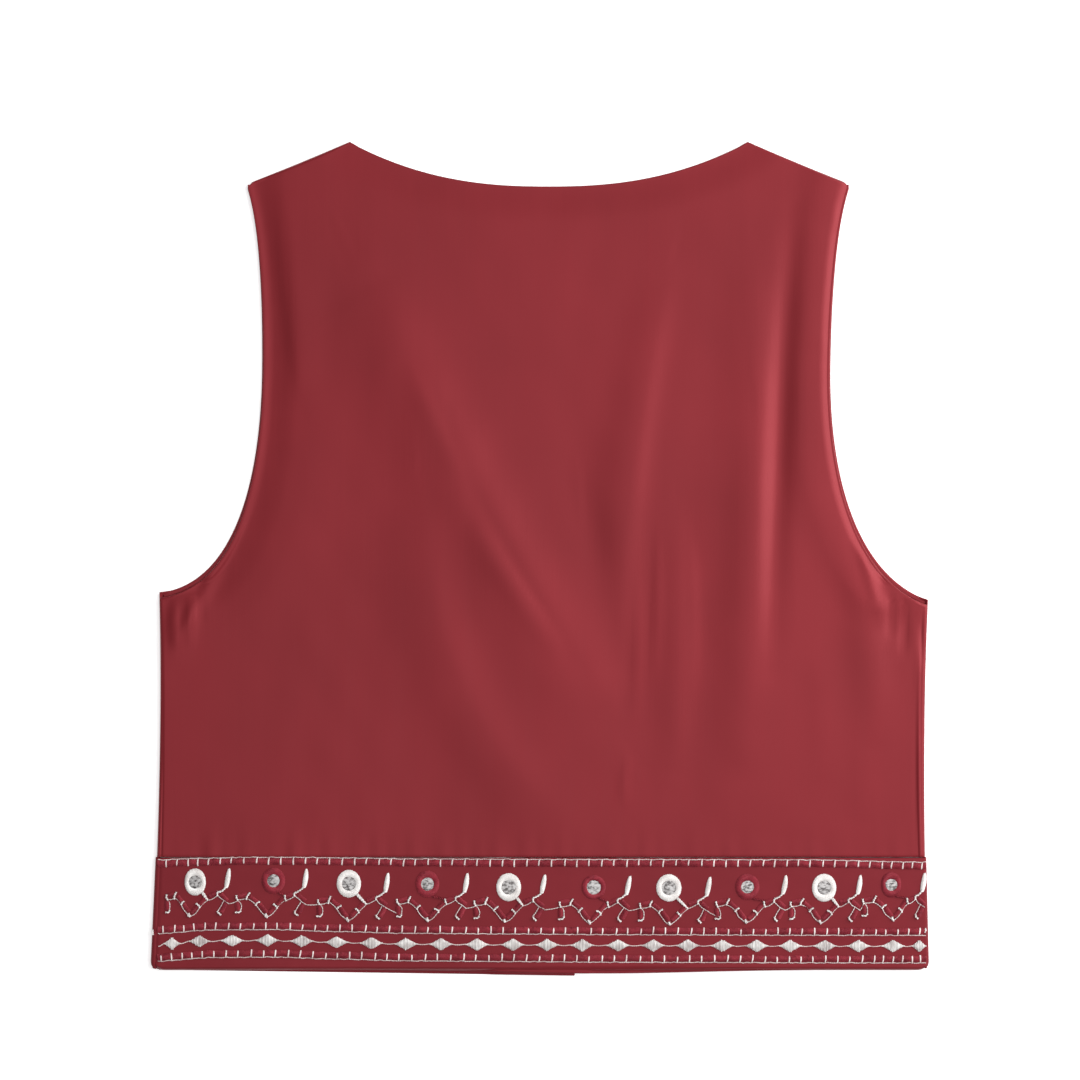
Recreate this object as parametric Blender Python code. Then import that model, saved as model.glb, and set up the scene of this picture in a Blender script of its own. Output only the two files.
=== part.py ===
# Embroidered vest, laid flat on its two fronts with its back up.
# Sizes are in metres. X runs across the back from the middle of the hem, Y runs up from the hem,
# and Z runs up from the surface that the vest lies on.
# Left and right are those of the vest seen from above, with the hem at the bottom.

from collections import namedtuple
from math import ceil, pi

import bmesh
import bpy
import numpy as np

# Cloth
CLOTH = 0.0010
SEAM_GAP = 0.0003
FOLD_RADIUS = 0.0015  # of the cloth's middle where it turns round a side or a shoulder
FLOOR_MIDDLE = CLOTH / 2
FOLD_HEIGHT = FLOOR_MIDDLE + FOLD_RADIUS
QUARTER_TURN = FOLD_RADIUS * pi / 2
TURN_STEP = QUARTER_TURN / 3

# Outline
NECK_POINT_X, NECK_POINT_Y = 0.1192, 0.4960
SHOULDER_TIP_X, SHOULDER_TIP_Y = 0.1811, 0.4705
SHOULDER_DIP = 0.0004
NECKLINE_LOW, NECKLINE_POWER = 0.4696, 2.4
ARMHOLE_WAIST_X, ARMHOLE_WAIST_Y = 0.1697, 0.3600
UNDERARM_Y = {-1: 0.2230, 1: 0.2185}  # the left armhole ends a little higher
ARMHOLE_HOLLOW = {-1: (0.1842, 0.2285), 1: (0.1872, 0.2335)}  # draws its lower curve towards the side
ARMHOLE_LOW_Y, ARMHOLE_HIGH_Y = 0.2930, 0.4050  # where its curves leave the waist's upright line
ARMHOLE_RISE = (0.1735, 0.4500)  # draws its upper curve towards the shoulder
SIDE_WAIST_X, SIDE_WAIST_Y = 0.2287, 0.1500
FLARE_ABOVE, FLARE_BELOW, FLARE_REACH = 0.0014, 0.0009, 0.075
BAND_TOP, BAND_TOP_X, HEM_X = 0.0675, 0.2306, 0.2330
HEM_DIP, HEM_DIP_X, HEM_DIP_WIDTH = 0.0021, 0.040, 0.075  # the back's hem hangs lowest right of the middle
LEAN = 0.0054  # how far the neck sits to the right of the hem

# Fronts
FRONT_PEEK = 0.0032  # the fronts' underarms show this far past the back's
FRONT_EDGE = 0.0211  # how far each front runs past the middle
FRONT_CLIMB = 0.0120  # over this width the left front climbs on to the right front
CLIMB_CLEAR = 0.0024  # it has climbed this far before the right front's edge
CLIMB_END = FRONT_EDGE + CLIMB_CLEAR
CLIMB_START = CLIMB_END + FRONT_CLIMB
BACK_CLIMB = 0.0108  # the back rises over the overlap in this width
BREAK_Y = 0.3050  # where the front edges leave the middle for the neck
LAPEL_BOW = 0.0060
LEFT_HEM_DROP, RIGHT_HEM_RISE = 0.0035, 0.0012

# The front's band is carried this far past the side on to the back, measured along the cloth
BAND_CARRY = {-1: 0.0034, 1: 0.0018}

# Loft of the back over the fronts
BACK_LIE = FLOOR_MIDDLE + CLOTH + SEAM_GAP
LOFT = FOLD_HEIGHT + FOLD_RADIUS - BACK_LIE
EDGE_LOFT, EDGE_EASE = 0.35, 0.022  # share of the loft left at an open edge, and where it is whole again
EDGE_FOLD = 0.25  # share of a fold's height left at an open edge
FULL_UNDERARM_CELLS = 2  # the armhole's lowest cells keep the loft of the side
HEM_SAG, HEM_SAG_REACH, HEM_SAG_X, HEM_SAG_WIDTH = 0.65, 0.030, 0.130, 0.050
OVERLAP_TOP, OVERLAP_FADE = 0.385, 0.040

# Mirrors and their rings on the back's band, from left to right: the mirror's middle and radius,
# and the ring's width and height. They stray up and down by hand, most on the left.
MirrorRing = namedtuple("MirrorRing", "x y radius wide tall")
MIRROR_RINGS = (
    MirrorRing(-0.2063, 0.0529, 0.0038, 0.0128, 0.0164),
    MirrorRing(-0.1594, 0.0537, 0.0037, 0.0141, 0.0160),
    MirrorRing(-0.1143, 0.0519, 0.0041, 0.0146, 0.0168),
    MirrorRing(-0.0672, 0.0517, 0.0038, 0.0142, 0.0165),
    MirrorRing(-0.0186, 0.0498, 0.0042, 0.0149, 0.0170),
    MirrorRing(0.0324, 0.0498, 0.0041, 0.0145, 0.0146),
    MirrorRing(0.0773, 0.0494, 0.0042, 0.0152, 0.0165),
    MirrorRing(0.1244, 0.0500, 0.0037, 0.0146, 0.0158),
    MirrorRing(0.1703, 0.0495, 0.0041, 0.0146, 0.0169),
    MirrorRing(0.2105, 0.0513, 0.0034, 0.0120, 0.0155),
)
MIRROR_THICKNESS = 0.0008
RING_HEIGHT = 0.0013
ROUND_SIDES = 20

# How many cells the panels have along each edge
SIDE_CELLS, ARMHOLE_CELLS, BAND_CELLS = 10, 17, 4
FRONT_EDGE_CELLS = 14
SHOULDER_CELLS, NECK_CELLS = 7, 30
BACK_CELLS = 2 * SHOULDER_CELLS + NECK_CELLS
FRONT_FLAT_CELLS, CLIMB_CELLS, OVERLAP_CELLS = 7, 3, 2
FRONT_CELLS = FRONT_FLAT_CELLS + CLIMB_CELLS + OVERLAP_CELLS

Finish = namedtuple("Finish", "name colour roughness metallic")
SATIN = Finish("satin", (0.275, 0.033, 0.040), 0.45, 0.0)
BAND_CLOTH = Finish("band_cloth", (0.175, 0.026, 0.032), 0.60, 0.0)
IVORY_THREAD = Finish("ivory_thread", (0.80, 0.77, 0.72), 0.55, 0.0)
RED_THREAD = Finish("red_thread", (0.260, 0.020, 0.036), 0.50, 0.0)
MIRROR = Finish("mirror", (0.62, 0.60, 0.60), 0.15, 1.0)

# Each fold runs from start past bend to finish. height is its crest above the lie of the cloth,
# a trough's is negative, and it fades over left to its left and over right to its right, looking along it.
Fold = namedtuple("Fold", "start bend finish height left right")
FOLDS = (
    Fold((-0.105, 0.418), (-0.028, 0.262), (0.042, 0.148), 0.0034, 0.0180, 0.030),
    Fold((-0.110, 0.400), (-0.045, 0.235), (0.040, 0.105), 0.0013, 0.026, 0.045),
    Fold((-0.072, 0.285), (-0.066, 0.145), (0.028, 0.078), 0.0020, 0.0140, 0.026),
    Fold((0.018, 0.330), (0.036, 0.240), (0.054, 0.150), -0.0008, 0.012, 0.011),
    Fold((0.077, 0.418), (0.053, 0.320), (0.046, 0.175), 0.0019, 0.0085, 0.019),
    Fold((0.081, 0.275), (0.088, 0.205), (0.079, 0.115), 0.0015, 0.0070, 0.013),
    Fold((0.127, 0.428), (0.133, 0.290), (0.119, 0.112), 0.0020, 0.0105, 0.017),
    Fold((0.130, 0.310), (0.140, 0.190), (0.128, 0.075), 0.0017, 0.060, 0.030),
    Fold((0.153, 0.458), (0.141, 0.330), (0.139, 0.180), -0.0020, 0.0080, 0.0060),
    Fold((-0.157, 0.470), (-0.156, 0.430), (-0.142, 0.345), 0.0010, 0.014, 0.0050),
    Fold((0.184, 0.262), (0.200, 0.215), (0.200, 0.130), 0.0018, 0.011, 0.012),
    Fold((-0.200, 0.243), (-0.216, 0.222), (-0.227, 0.180), 0.0007, 0.0140, 0.006),
)
FOLD_SAMPLES = 41
FOLD_END, FOLD_FADE = 0.02, 0.7  # how low a fold starts, and how soon it stands up from its ends

# Points along the curves of the outline, and along a line from which distances are taken
CURVE_SAMPLES, LINE_SAMPLES = 50, 240
SHARP_ANGLE = 0.7  # edges that turn more than this, in radians, are shaded sharp

# The section of a mirror's ring, from its hole outwards: shares of its width and of its height
RingPoint = namedtuple("RingPoint", "out up")
RING_SECTION = (
    RingPoint(0.00, 0.00),
    RingPoint(0.00, 0.55),
    RingPoint(0.28, 0.95),
    RingPoint(0.70, 0.95),
    RingPoint(1.00, 0.45),
    RingPoint(1.00, 0.00),
)

# One edge of a panel: its line of points from left to right or from the hem up, how far each point's
# cloth turns round a fold (1) or stays free (0), and the run along the cloth at which the panel starts
Edge = namedtuple("Edge", "line turned start")


def smooth(value):
    """Eases from 0 to 1 as value goes from 0 to 1."""
    value = np.clip(value, 0, 1)
    return value * value * (3 - 2 * value)


def curve(points, samples):
    """Points along the Bezier curve from the first to the last of the given points."""
    share = np.linspace(0, 1, samples)[:, None]
    lines = [np.tile(np.array(point, float), (samples, 1)) for point in points]
    while len(lines) > 1:
        lines = [a * (1 - share) + b * share for a, b in zip(lines, lines[1:])]
    return lines[0]


def run_along(line):
    """The distance along a line of points to each of them."""
    return np.concatenate([[0], np.cumsum(np.linalg.norm(np.diff(line, axis=0), axis=1))])


def evenly(line, cells):
    """Points at equal distances along a line of points, one more than cells."""
    run = run_along(line)
    at = np.linspace(0, run[-1], cells + 1)
    return np.stack([np.interp(at, run, line[:, 0]), np.interp(at, run, line[:, 1])], axis=1)


def leaned(points):
    """Points moved sideways as the vest leans on the surface."""
    points = np.array(points, float)
    points[..., 0] += LEAN * points[..., 1] / NECK_POINT_Y
    return points


def side_x(y):
    """Half the width of the vest at a height below the underarm."""
    flare = np.where(y > SIDE_WAIST_Y, FLARE_ABOVE, FLARE_BELOW)
    body = SIDE_WAIST_X + flare * ((y - SIDE_WAIST_Y) / FLARE_REACH) ** 2
    band = HEM_X + (BAND_TOP_X - HEM_X) * y / BAND_TOP
    return np.where(y > BAND_TOP, body, band)


def shoulder_line(side, cells):
    """The shoulder from its tip to the neck point."""
    tip = (side * SHOULDER_TIP_X, SHOULDER_TIP_Y)
    neck = (side * NECK_POINT_X, NECK_POINT_Y)
    middle = ((tip[0] + neck[0]) / 2, (tip[1] + neck[1]) / 2 - 2 * SHOULDER_DIP)
    return leaned(evenly(curve((tip, middle, neck), CURVE_SAMPLES), cells))


def neckline():
    """The back neckline from the left neck point to the right one."""
    x = np.linspace(-NECK_POINT_X, NECK_POINT_X, LINE_SAMPLES)
    rise = (NECK_POINT_Y - NECKLINE_LOW) * (np.abs(x) / NECK_POINT_X) ** NECKLINE_POWER
    return leaned(evenly(np.stack([x, NECKLINE_LOW + rise], axis=1), NECK_CELLS))


def panel_side(side, peek):
    """A panel's outer edge, from the band up the side seam and on round the armhole to the tip.
    peek carries the underarm up and the armhole out, as on the fronts."""
    corner_y = UNDERARM_Y[side] + peek
    y = np.linspace(BAND_TOP + SEAM_GAP / 2, corner_y, SIDE_CELLS + 1)
    seam = np.stack([side * side_x(y), y], axis=1)
    waist = side * (ARMHOLE_WAIST_X + peek / 4)
    hollow_x, hollow_y = ARMHOLE_HOLLOW[side]
    hollow = (side * (hollow_x + peek / 2), hollow_y + peek)
    tip = (side * SHOULDER_TIP_X, SHOULDER_TIP_Y)
    lower = (seam[-1], hollow, (waist, ARMHOLE_LOW_Y), (waist, ARMHOLE_WAIST_Y))
    rise = (side * ARMHOLE_RISE[0], ARMHOLE_RISE[1])
    upper = ((waist, ARMHOLE_WAIST_Y), (waist, ARMHOLE_HIGH_Y), rise, tip)
    armhole = np.concatenate([curve(lower, CURVE_SAMPLES), curve(upper, CURVE_SAMPLES)[1:]])
    armhole = evenly(armhole, ARMHOLE_CELLS)
    return leaned(np.concatenate([seam, armhole[1:]]))


def band_side(side):
    """The side of the hem band, from the hem up to its seam."""
    y = np.linspace(0, BAND_TOP - SEAM_GAP / 2, BAND_CELLS + 1)
    return leaned(np.stack([side * side_x(y), y], axis=1))


def front_edge(side):
    """A front's free edge: past the middle from the band up to the break, then along the V of the neck."""
    inner = -side * FRONT_EDGE
    straight = curve(((inner, BAND_TOP + SEAM_GAP / 2), (inner, BREAK_Y)), FRONT_EDGE_CELLS + 1)
    neck = (side * NECK_POINT_X, NECK_POINT_Y)
    middle = ((inner + neck[0]) / 2 + side * LAPEL_BOW, (BREAK_Y + neck[1]) / 2 - LAPEL_BOW)
    rest = SIDE_CELLS + ARMHOLE_CELLS - FRONT_EDGE_CELLS
    lapel = evenly(curve(((inner, BREAK_Y), middle, neck), CURVE_SAMPLES), rest)
    return leaned(np.concatenate([straight, lapel[1:]]))


def between(start, finish, cells):
    """Points from start to finish on a straight line."""
    return curve((start, finish), cells + 1)


def front_foot(side, outer, inner):
    """Points from left to right along the foot of a front, closest where the left front climbs."""
    marks = (outer[0], side * CLIMB_START, side * CLIMB_END, inner[0])
    runs = zip(marks, marks[1:], (FRONT_FLAT_CELLS, CLIMB_CELLS, OVERLAP_CELLS))
    steps = [np.linspace(start, end, cells + 1)[1:] for start, end, cells in runs]
    x = np.concatenate([[outer[0]], *steps])
    share = (x - outer[0]) / (inner[0] - outer[0])
    return np.stack([x, outer[1] + (inner[1] - outer[1]) * share**2], axis=1)[::-side]


def fold_height(x, y):
    """How far the folds lift the back at each point."""
    total = np.zeros(np.shape(x))
    share = np.linspace(0, 1, FOLD_SAMPLES)
    fading = np.sin(pi * np.clip(share, FOLD_END, 1 - FOLD_END)) ** FOLD_FADE
    for fold in FOLDS:
        line = curve((fold.start, fold.bend, fold.finish), FOLD_SAMPLES)
        off_x, off_y = x[..., None] - line[:, 0], y[..., None] - line[:, 1]
        away = np.hypot(off_x, off_y)
        index = away.argmin(axis=-1)
        ahead = np.gradient(line, axis=0)[index]
        off_x = np.take_along_axis(off_x, index[..., None], axis=-1)[..., 0]
        off_y = np.take_along_axis(off_y, index[..., None], axis=-1)[..., 0]
        width = np.where(ahead[..., 0] * off_y > ahead[..., 1] * off_x, fold.left, fold.right)
        total += fold.height * fading[index] * np.exp(-((away.min(axis=-1) / width) ** 2))
    return total


def distance_to(line, x, y):
    """How far each point lies from a line of points."""
    fine = evenly(line, LINE_SAMPLES)
    return np.hypot(x[..., None] - fine[:, 0], y[..., None] - fine[:, 1]).min(axis=-1)


def over_the_overlap(x, y):
    """1 where the back lies over both fronts, easing to 0 beside them and above the neck's break."""
    across = smooth((CLIMB_START - np.abs(x)) / BACK_CLIMB)
    return across * smooth((OVERLAP_TOP + OVERLAP_FADE - y) / OVERLAP_FADE)


def back_height(x, y):
    """The height of the middle of the back's cloth at each point."""
    open_edge = distance_to(neckline(), x, y)
    for side in (-1, 1):
        armhole = panel_side(side, 0)[SIDE_CELLS + FULL_UNDERARM_CELLS + 1 :]
        open_edge = np.minimum(open_edge, distance_to(armhole, x, y))
    ease = smooth(open_edge / EDGE_EASE)
    sag = HEM_SAG * np.exp(-(((np.abs(x) - HEM_SAG_X) / HEM_SAG_WIDTH) ** 2) - y / HEM_SAG_REACH)
    loft = LOFT * (EDGE_LOFT + (1 - EDGE_LOFT) * ease) * (1 - sag)
    height = BACK_LIE + loft + fold_height(x, y) * (EDGE_FOLD + (1 - EDGE_FOLD) * ease)
    lowest = BACK_LIE + SEAM_GAP / 3 + (CLOTH + SEAM_GAP) * over_the_overlap(x, y)
    return np.maximum(height, lowest)


def left_front_height(x, y):
    """The left front lies on the surface, and on the right front where they overlap."""
    climb = smooth((x + CLIMB_START) / FRONT_CLIMB)
    return FLOOR_MIDDLE + (CLOTH + SEAM_GAP) * climb


def right_front_height(x, y):
    """The right front lies flat on the surface."""
    return np.full(np.shape(x), FLOOR_MIDDLE)


def inset_at(run):
    """How far in from the outline cloth lies whose run along the cloth from the outermost line is given."""
    angle = np.minimum(abs(run) / FOLD_RADIUS, pi / 2)
    return FOLD_RADIUS * (1 - np.cos(angle)) + max(abs(run) - QUARTER_TURN, 0)


def edge_inset(edge):
    """How far in from its outline the flat part of a panel starts."""
    return 0 if edge.start is None else inset_at(max(edge.start, QUARTER_TURN))


def outward_of(line, turn):
    """The level direction out of the panel at each point of an edge. turn is 1 with the panel on the
    right of the line's direction, and -1 with it on the left."""
    along = np.gradient(line, axis=0)
    along /= np.linalg.norm(along, axis=1)[:, None]
    return turn * np.stack([-along[:, 1], along[:, 0]], axis=1)


def blend_between(left, right, bottom, top):
    """The grid of points between four lines that share their corners, row by row from the bottom."""
    u = (run_along(bottom) / run_along(bottom)[-1])[None, :, None]
    v = np.linspace(0, 1, len(left))[:, None, None]
    straight = (1 - u) * left[:, None] + u * right[:, None] + (1 - v) * bottom[None] + v * top[None]
    corners = (1 - v) * ((1 - u) * bottom[0] + u * bottom[-1]) + v * ((1 - u) * top[0] + u * top[-1])
    return straight - corners


def facing(points):
    """The direction that each point of a grid faces, from its neighbours."""
    normals = np.cross(np.gradient(points, axis=1), np.gradient(points, axis=0))
    return normals / np.linalg.norm(normals, axis=2)[:, :, None]


def turned_strip(points, normals, outward, edge, on_top):
    """The cloth from a panel's rim to the line of points where it lies flat, and the way it faces.
    on_top is 1 on the back, which comes down into the fold, and -1 on a front, which comes up."""
    if edge.start is None or edge.start >= QUARTER_TURN:
        return np.zeros((0, *points.shape)), np.zeros((0, *points.shape))
    steps = ceil((QUARTER_TURN - edge.start) / TURN_STEP)
    turned = edge.turned[:, None]
    flat_height = FOLD_HEIGHT + on_top * FOLD_RADIUS
    strip, faces = [], []
    for step in range(steps):
        run = edge.start + (QUARTER_TURN - edge.start) * step / steps
        angle = np.clip(run / FOLD_RADIUS, -pi / 2, pi / 2)
        inset = inset_at(run) * turned + FOLD_RADIUS * step / steps * (1 - turned)
        level = points[:, :2] + outward * (FOLD_RADIUS - inset)
        settle = (points[:, 2:] - flat_height) * max(np.sin(angle), 0) ** 2
        z = FOLD_HEIGHT + on_top * FOLD_RADIUS * np.sin(angle) + settle
        z = z * turned + points[:, 2:] * (1 - turned)
        strip.append(np.concatenate([level, z], axis=1))
        up = np.full((len(level), 1), np.sin(angle))
        face = np.concatenate([on_top * np.cos(angle) * outward, up], axis=1)
        face = face * turned + normals * (1 - turned)
        faces.append(face / np.linalg.norm(face, axis=1)[:, None])
    return np.array(strip), np.array(faces)


def cloth_wall(name, middle, normals, finish):
    """A closed wall of cloth round a grid of middle points, half its thickness to each side."""
    rows, columns = middle.shape[:2]
    offset = normals * CLOTH / 2
    vertices = np.concatenate([(middle + offset).reshape(-1, 3), (middle - offset).reshape(-1, 3)])
    number = np.arange(rows * columns).reshape(rows, columns)
    under = rows * columns
    faces = []
    for row in range(rows - 1):
        for column in range(columns - 1):
            a, b = number[row, column], number[row, column + 1]
            c, d = number[row + 1, column + 1], number[row + 1, column]
            faces.append((a, b, c, d))
            faces.append((a + under, d + under, c + under, b + under))
    rim = [*number[0, :], *number[1:, -1], *number[-1, -2::-1], *number[-2:0:-1, 0]]
    for a, b in zip(rim, rim[1:] + rim[:1]):
        faces.append((a, a + under, b + under, b))
    return solid(name, vertices, faces, finish)


def cloth_piece(name, left, right, bottom, top, height, on_top, finish):
    """A panel or band between its four edges. The sides, and the top where it has a shoulder, turn
    into their folds."""
    out_left, out_right = outward_of(left.line, 1), outward_of(right.line, -1)
    out_top = outward_of(top.line, 1)
    left_line = left.line - out_left * edge_inset(left)
    right_line = right.line - out_right * edge_inset(right)
    top_line = top.line - out_top * edge_inset(top)
    left_line[-1] -= out_top[0] * edge_inset(top)
    right_line[-1] -= out_top[-1] * edge_inset(top)
    top_line[0], top_line[-1] = left_line[-1], right_line[-1]
    bottom_line = bottom.copy()
    bottom_line[0], bottom_line[-1] = left_line[0], right_line[0]

    level = blend_between(left_line, right_line, bottom_line, top_line)
    grid = np.concatenate([level, height(level[..., 0], level[..., 1])[..., None]], axis=2)
    normals = facing(grid)

    strip, faces = turned_strip(grid[:, 0], normals[:, 0], out_left, left, on_top)
    wide, wide_normals = strip.transpose(1, 0, 2), faces.transpose(1, 0, 2)
    added_left = len(strip)
    strip, faces = turned_strip(grid[:, -1], normals[:, -1], out_right, right, on_top)
    grid = np.concatenate([wide, grid, strip[::-1].transpose(1, 0, 2)], axis=1)
    normals = np.concatenate([wide_normals, normals, faces[::-1].transpose(1, 0, 2)], axis=1)

    padding = (added_left, len(strip))
    top_edge = Edge(None, np.pad(top.turned, padding, mode="edge"), top.start)
    out_top = np.pad(out_top, (padding, (0, 0)), mode="edge")
    strip, faces = turned_strip(grid[-1], normals[-1], out_top, top_edge, on_top)
    grid = np.concatenate([grid, strip[::-1]])
    normals = np.concatenate([normals, faces[::-1]])
    return cloth_wall(name, grid, normals, finish)


def shader_material(finish):
    made = bpy.data.materials.get(finish.name)
    if made:
        return made
    made = bpy.data.materials.new(finish.name)
    made.use_nodes = True
    shader = made.node_tree.nodes["Principled BSDF"]
    shader.inputs["Base Color"].default_value = (*finish.colour, 1)
    shader.inputs["Roughness"].default_value = finish.roughness
    shader.inputs["Metallic"].default_value = finish.metallic
    made.diffuse_color = (*finish.colour, 1)
    return made


def solid(name, vertices, faces, finish):
    """One named object with its faces pointing out, shaded smooth, under the vest's origin."""
    mesh = bpy.data.meshes.new(name)
    corners = [tuple(int(index) for index in face) for face in faces]
    mesh.from_pydata([tuple(map(float, vertex)) for vertex in vertices], [], corners)
    shape = bmesh.new()
    shape.from_mesh(mesh)
    bmesh.ops.recalc_face_normals(shape, faces=shape.faces)
    shape.to_mesh(mesh)
    shape.free()
    mesh.shade_smooth()
    mesh.set_sharp_from_angle(angle=SHARP_ANGLE)
    mesh.materials.append(shader_material(finish))
    made = bpy.data.objects.new(name, mesh)
    bpy.context.scene.collection.objects.link(made)
    made.parent = vest_origin
    return made


def side_edge(side, peek):
    """A panel's side: sewn up to the underarm, open round the armhole."""
    line = panel_side(side, peek)
    turned = (np.arange(len(line)) <= SIDE_CELLS).astype(float)
    return Edge(line, turned, SEAM_GAP / 2)


def free_edge(line):
    return Edge(line, np.zeros(len(line)), None)


def back_panel():
    neck = neckline()
    line = np.concatenate([
        shoulder_line(-1, SHOULDER_CELLS),
        neck[1:-1],
        shoulder_line(1, SHOULDER_CELLS)[::-1],
    ])
    turned = np.ones(len(line))
    turned[SHOULDER_CELLS + 1 : -SHOULDER_CELLS - 1] = 0
    left, right = side_edge(-1, 0), side_edge(1, 0)
    bottom = between(left.line[0], right.line[0], BACK_CELLS)
    top = Edge(line, turned, SEAM_GAP / 2)
    return cloth_piece("back_panel", left, right, bottom, top, back_height, 1, SATIN)


def front_panel(side, name, height):
    shoulder = shoulder_line(side, FRONT_CELLS)[::-side]
    top = Edge(shoulder, np.ones(len(shoulder)), SEAM_GAP / 2)
    outer, inner = side_edge(side, FRONT_PEEK), free_edge(front_edge(side))
    left, right = (outer, inner) if side < 0 else (inner, outer)
    bottom = front_foot(side, outer.line[0], inner.line[0])
    return cloth_piece(name, left, right, bottom, top, height, -1, SATIN)


def band_edge(side, start):
    line = band_side(side)
    return Edge(line, np.ones(len(line)), start)


def back_band():
    left = band_edge(-1, BAND_CARRY[-1] + SEAM_GAP / 2)
    right = band_edge(1, BAND_CARRY[1] + SEAM_GAP / 2)
    bottom = between(left.line[0], right.line[0], BACK_CELLS)
    bottom[:, 1] -= HEM_DIP * np.exp(-(((bottom[:, 0] - HEM_DIP_X) / HEM_DIP_WIDTH) ** 2))
    top = free_edge(between(left.line[-1], right.line[-1], BACK_CELLS))
    return cloth_piece("back_band", left, right, bottom, top, back_height, 1, BAND_CLOTH)


def front_band(side, name, height, hem_shift):
    """A front's hem band. Its hem leaves the back's by hem_shift towards the front's free edge."""
    outer = band_edge(side, SEAM_GAP / 2 - BAND_CARRY[side])
    line = between((-side * FRONT_EDGE, hem_shift), (-side * FRONT_EDGE, BAND_TOP - SEAM_GAP / 2), BAND_CELLS)
    inner = free_edge(leaned(line))
    left, right = (outer, inner) if side < 0 else (inner, outer)
    bottom = front_foot(side, outer.line[0], inner.line[0])
    top = free_edge(front_foot(side, outer.line[-1], inner.line[-1]))
    return cloth_piece(name, left, right, bottom, top, height, -1, BAND_CLOTH)


def trim_base(x, y):
    """The height at which trim starts, a seam's gap above the back's cloth."""
    return back_height(np.asarray(x, float), np.asarray(y, float)) + CLOTH / 2 + SEAM_GAP


def ring(name, place, finish):
    """A padded ring of thread round a mirror, rounded above and following the band below."""
    angle = np.linspace(0, 2 * pi, ROUND_SIDES, endpoint=False)
    hole = place.radius + SEAM_GAP
    vertices = []
    for point in RING_SECTION:
        across = hole + (place.wide / 2 - hole) * point.out
        tall = hole + (place.tall / 2 - hole) * point.out
        level_x, level_y = place.x + across * np.cos(angle), place.y + tall * np.sin(angle)
        z = trim_base(level_x, level_y) + RING_HEIGHT * point.up
        vertices.extend(np.stack([level_x, level_y, z], axis=1))
    faces = []
    for row in range(len(RING_SECTION)):
        next_row = (row + 1) % len(RING_SECTION)
        for step in range(ROUND_SIDES):
            next_step = (step + 1) % ROUND_SIDES
            faces.append((
                row * ROUND_SIDES + step,
                row * ROUND_SIDES + next_step,
                next_row * ROUND_SIDES + next_step,
                next_row * ROUND_SIDES + step,
            ))
    return solid(name, vertices, faces, finish)


def mirror(name, place):
    """A small flat round mirror that lies level in its ring."""
    angle = np.linspace(0, 2 * pi, ROUND_SIDES, endpoint=False)
    level_x, level_y = place.x + place.radius * np.cos(angle), place.y + place.radius * np.sin(angle)
    base = trim_base(level_x, level_y).max()
    vertices = [(a, b, base + up) for up in (0, MIRROR_THICKNESS) for a, b in zip(level_x, level_y)]
    faces = [tuple(range(ROUND_SIDES))[::-1], tuple(range(ROUND_SIDES, 2 * ROUND_SIDES))]
    for step in range(ROUND_SIDES):
        following = (step + 1) % ROUND_SIDES
        faces.append((step, following, following + ROUND_SIDES, step + ROUND_SIDES))
    return solid(name, vertices, faces, MIRROR)


def stand_on_origin(pieces):
    """Moves the vest so that the middle of its underside lies on the world's origin."""
    corners = np.array([vertex.co for piece in pieces for vertex in piece.data.vertices])
    low, high = corners.min(axis=0), corners.max(axis=0)
    middle = (low + high) / 2
    vest_origin.location = (-middle[0], -middle[1], -low[2])


for item in list(bpy.data.objects):
    bpy.data.objects.remove(item, do_unlink=True)

vest_origin = bpy.data.objects.new("vest_origin", None)
bpy.context.scene.collection.objects.link(vest_origin)

vest = [
    back_panel(),
    back_band(),
    front_panel(-1, "left_front_panel", left_front_height),
    front_panel(1, "right_front_panel", right_front_height),
    front_band(-1, "left_front_band", left_front_height, -LEFT_HEM_DROP),
    front_band(1, "right_front_band", right_front_height, RIGHT_HEM_RISE),
]
for number, place in enumerate(MIRROR_RINGS, start=1):
    vest.append(ring(f"ring_{number}", place, IVORY_THREAD if number % 2 else RED_THREAD))
    vest.append(mirror(f"mirror_{number}", place))

stand_on_origin(vest)
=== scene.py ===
from collections import namedtuple
from math import ceil, cos, pi, sin
from re import sub

import bmesh
import bpy
import numpy as np
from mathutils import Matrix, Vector


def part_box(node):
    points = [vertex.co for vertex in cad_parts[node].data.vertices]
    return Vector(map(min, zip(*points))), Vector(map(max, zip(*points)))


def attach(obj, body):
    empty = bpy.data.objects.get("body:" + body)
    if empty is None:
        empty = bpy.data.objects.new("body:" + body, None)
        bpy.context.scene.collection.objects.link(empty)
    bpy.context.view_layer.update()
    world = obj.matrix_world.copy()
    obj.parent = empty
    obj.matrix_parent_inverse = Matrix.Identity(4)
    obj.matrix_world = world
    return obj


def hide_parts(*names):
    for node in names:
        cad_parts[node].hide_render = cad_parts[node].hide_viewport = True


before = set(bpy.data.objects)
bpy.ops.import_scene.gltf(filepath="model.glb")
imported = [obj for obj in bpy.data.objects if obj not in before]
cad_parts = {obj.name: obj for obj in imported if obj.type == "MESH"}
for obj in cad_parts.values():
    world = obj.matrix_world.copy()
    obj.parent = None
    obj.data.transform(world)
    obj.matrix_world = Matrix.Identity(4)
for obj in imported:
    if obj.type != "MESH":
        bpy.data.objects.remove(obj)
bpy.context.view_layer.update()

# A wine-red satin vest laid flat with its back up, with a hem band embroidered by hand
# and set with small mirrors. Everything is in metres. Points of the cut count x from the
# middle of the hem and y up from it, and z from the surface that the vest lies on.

print("frame loaded")


# Shader and geometry nodes, written as expressions

def spaced(name):
    # the name of a socket from one in camelCase, so profileCurve is Profile Curve
    words = sub("(?<=[a-z])(?=[A-Z])", " ", name)
    return words[0].upper() + words[1:]


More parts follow.
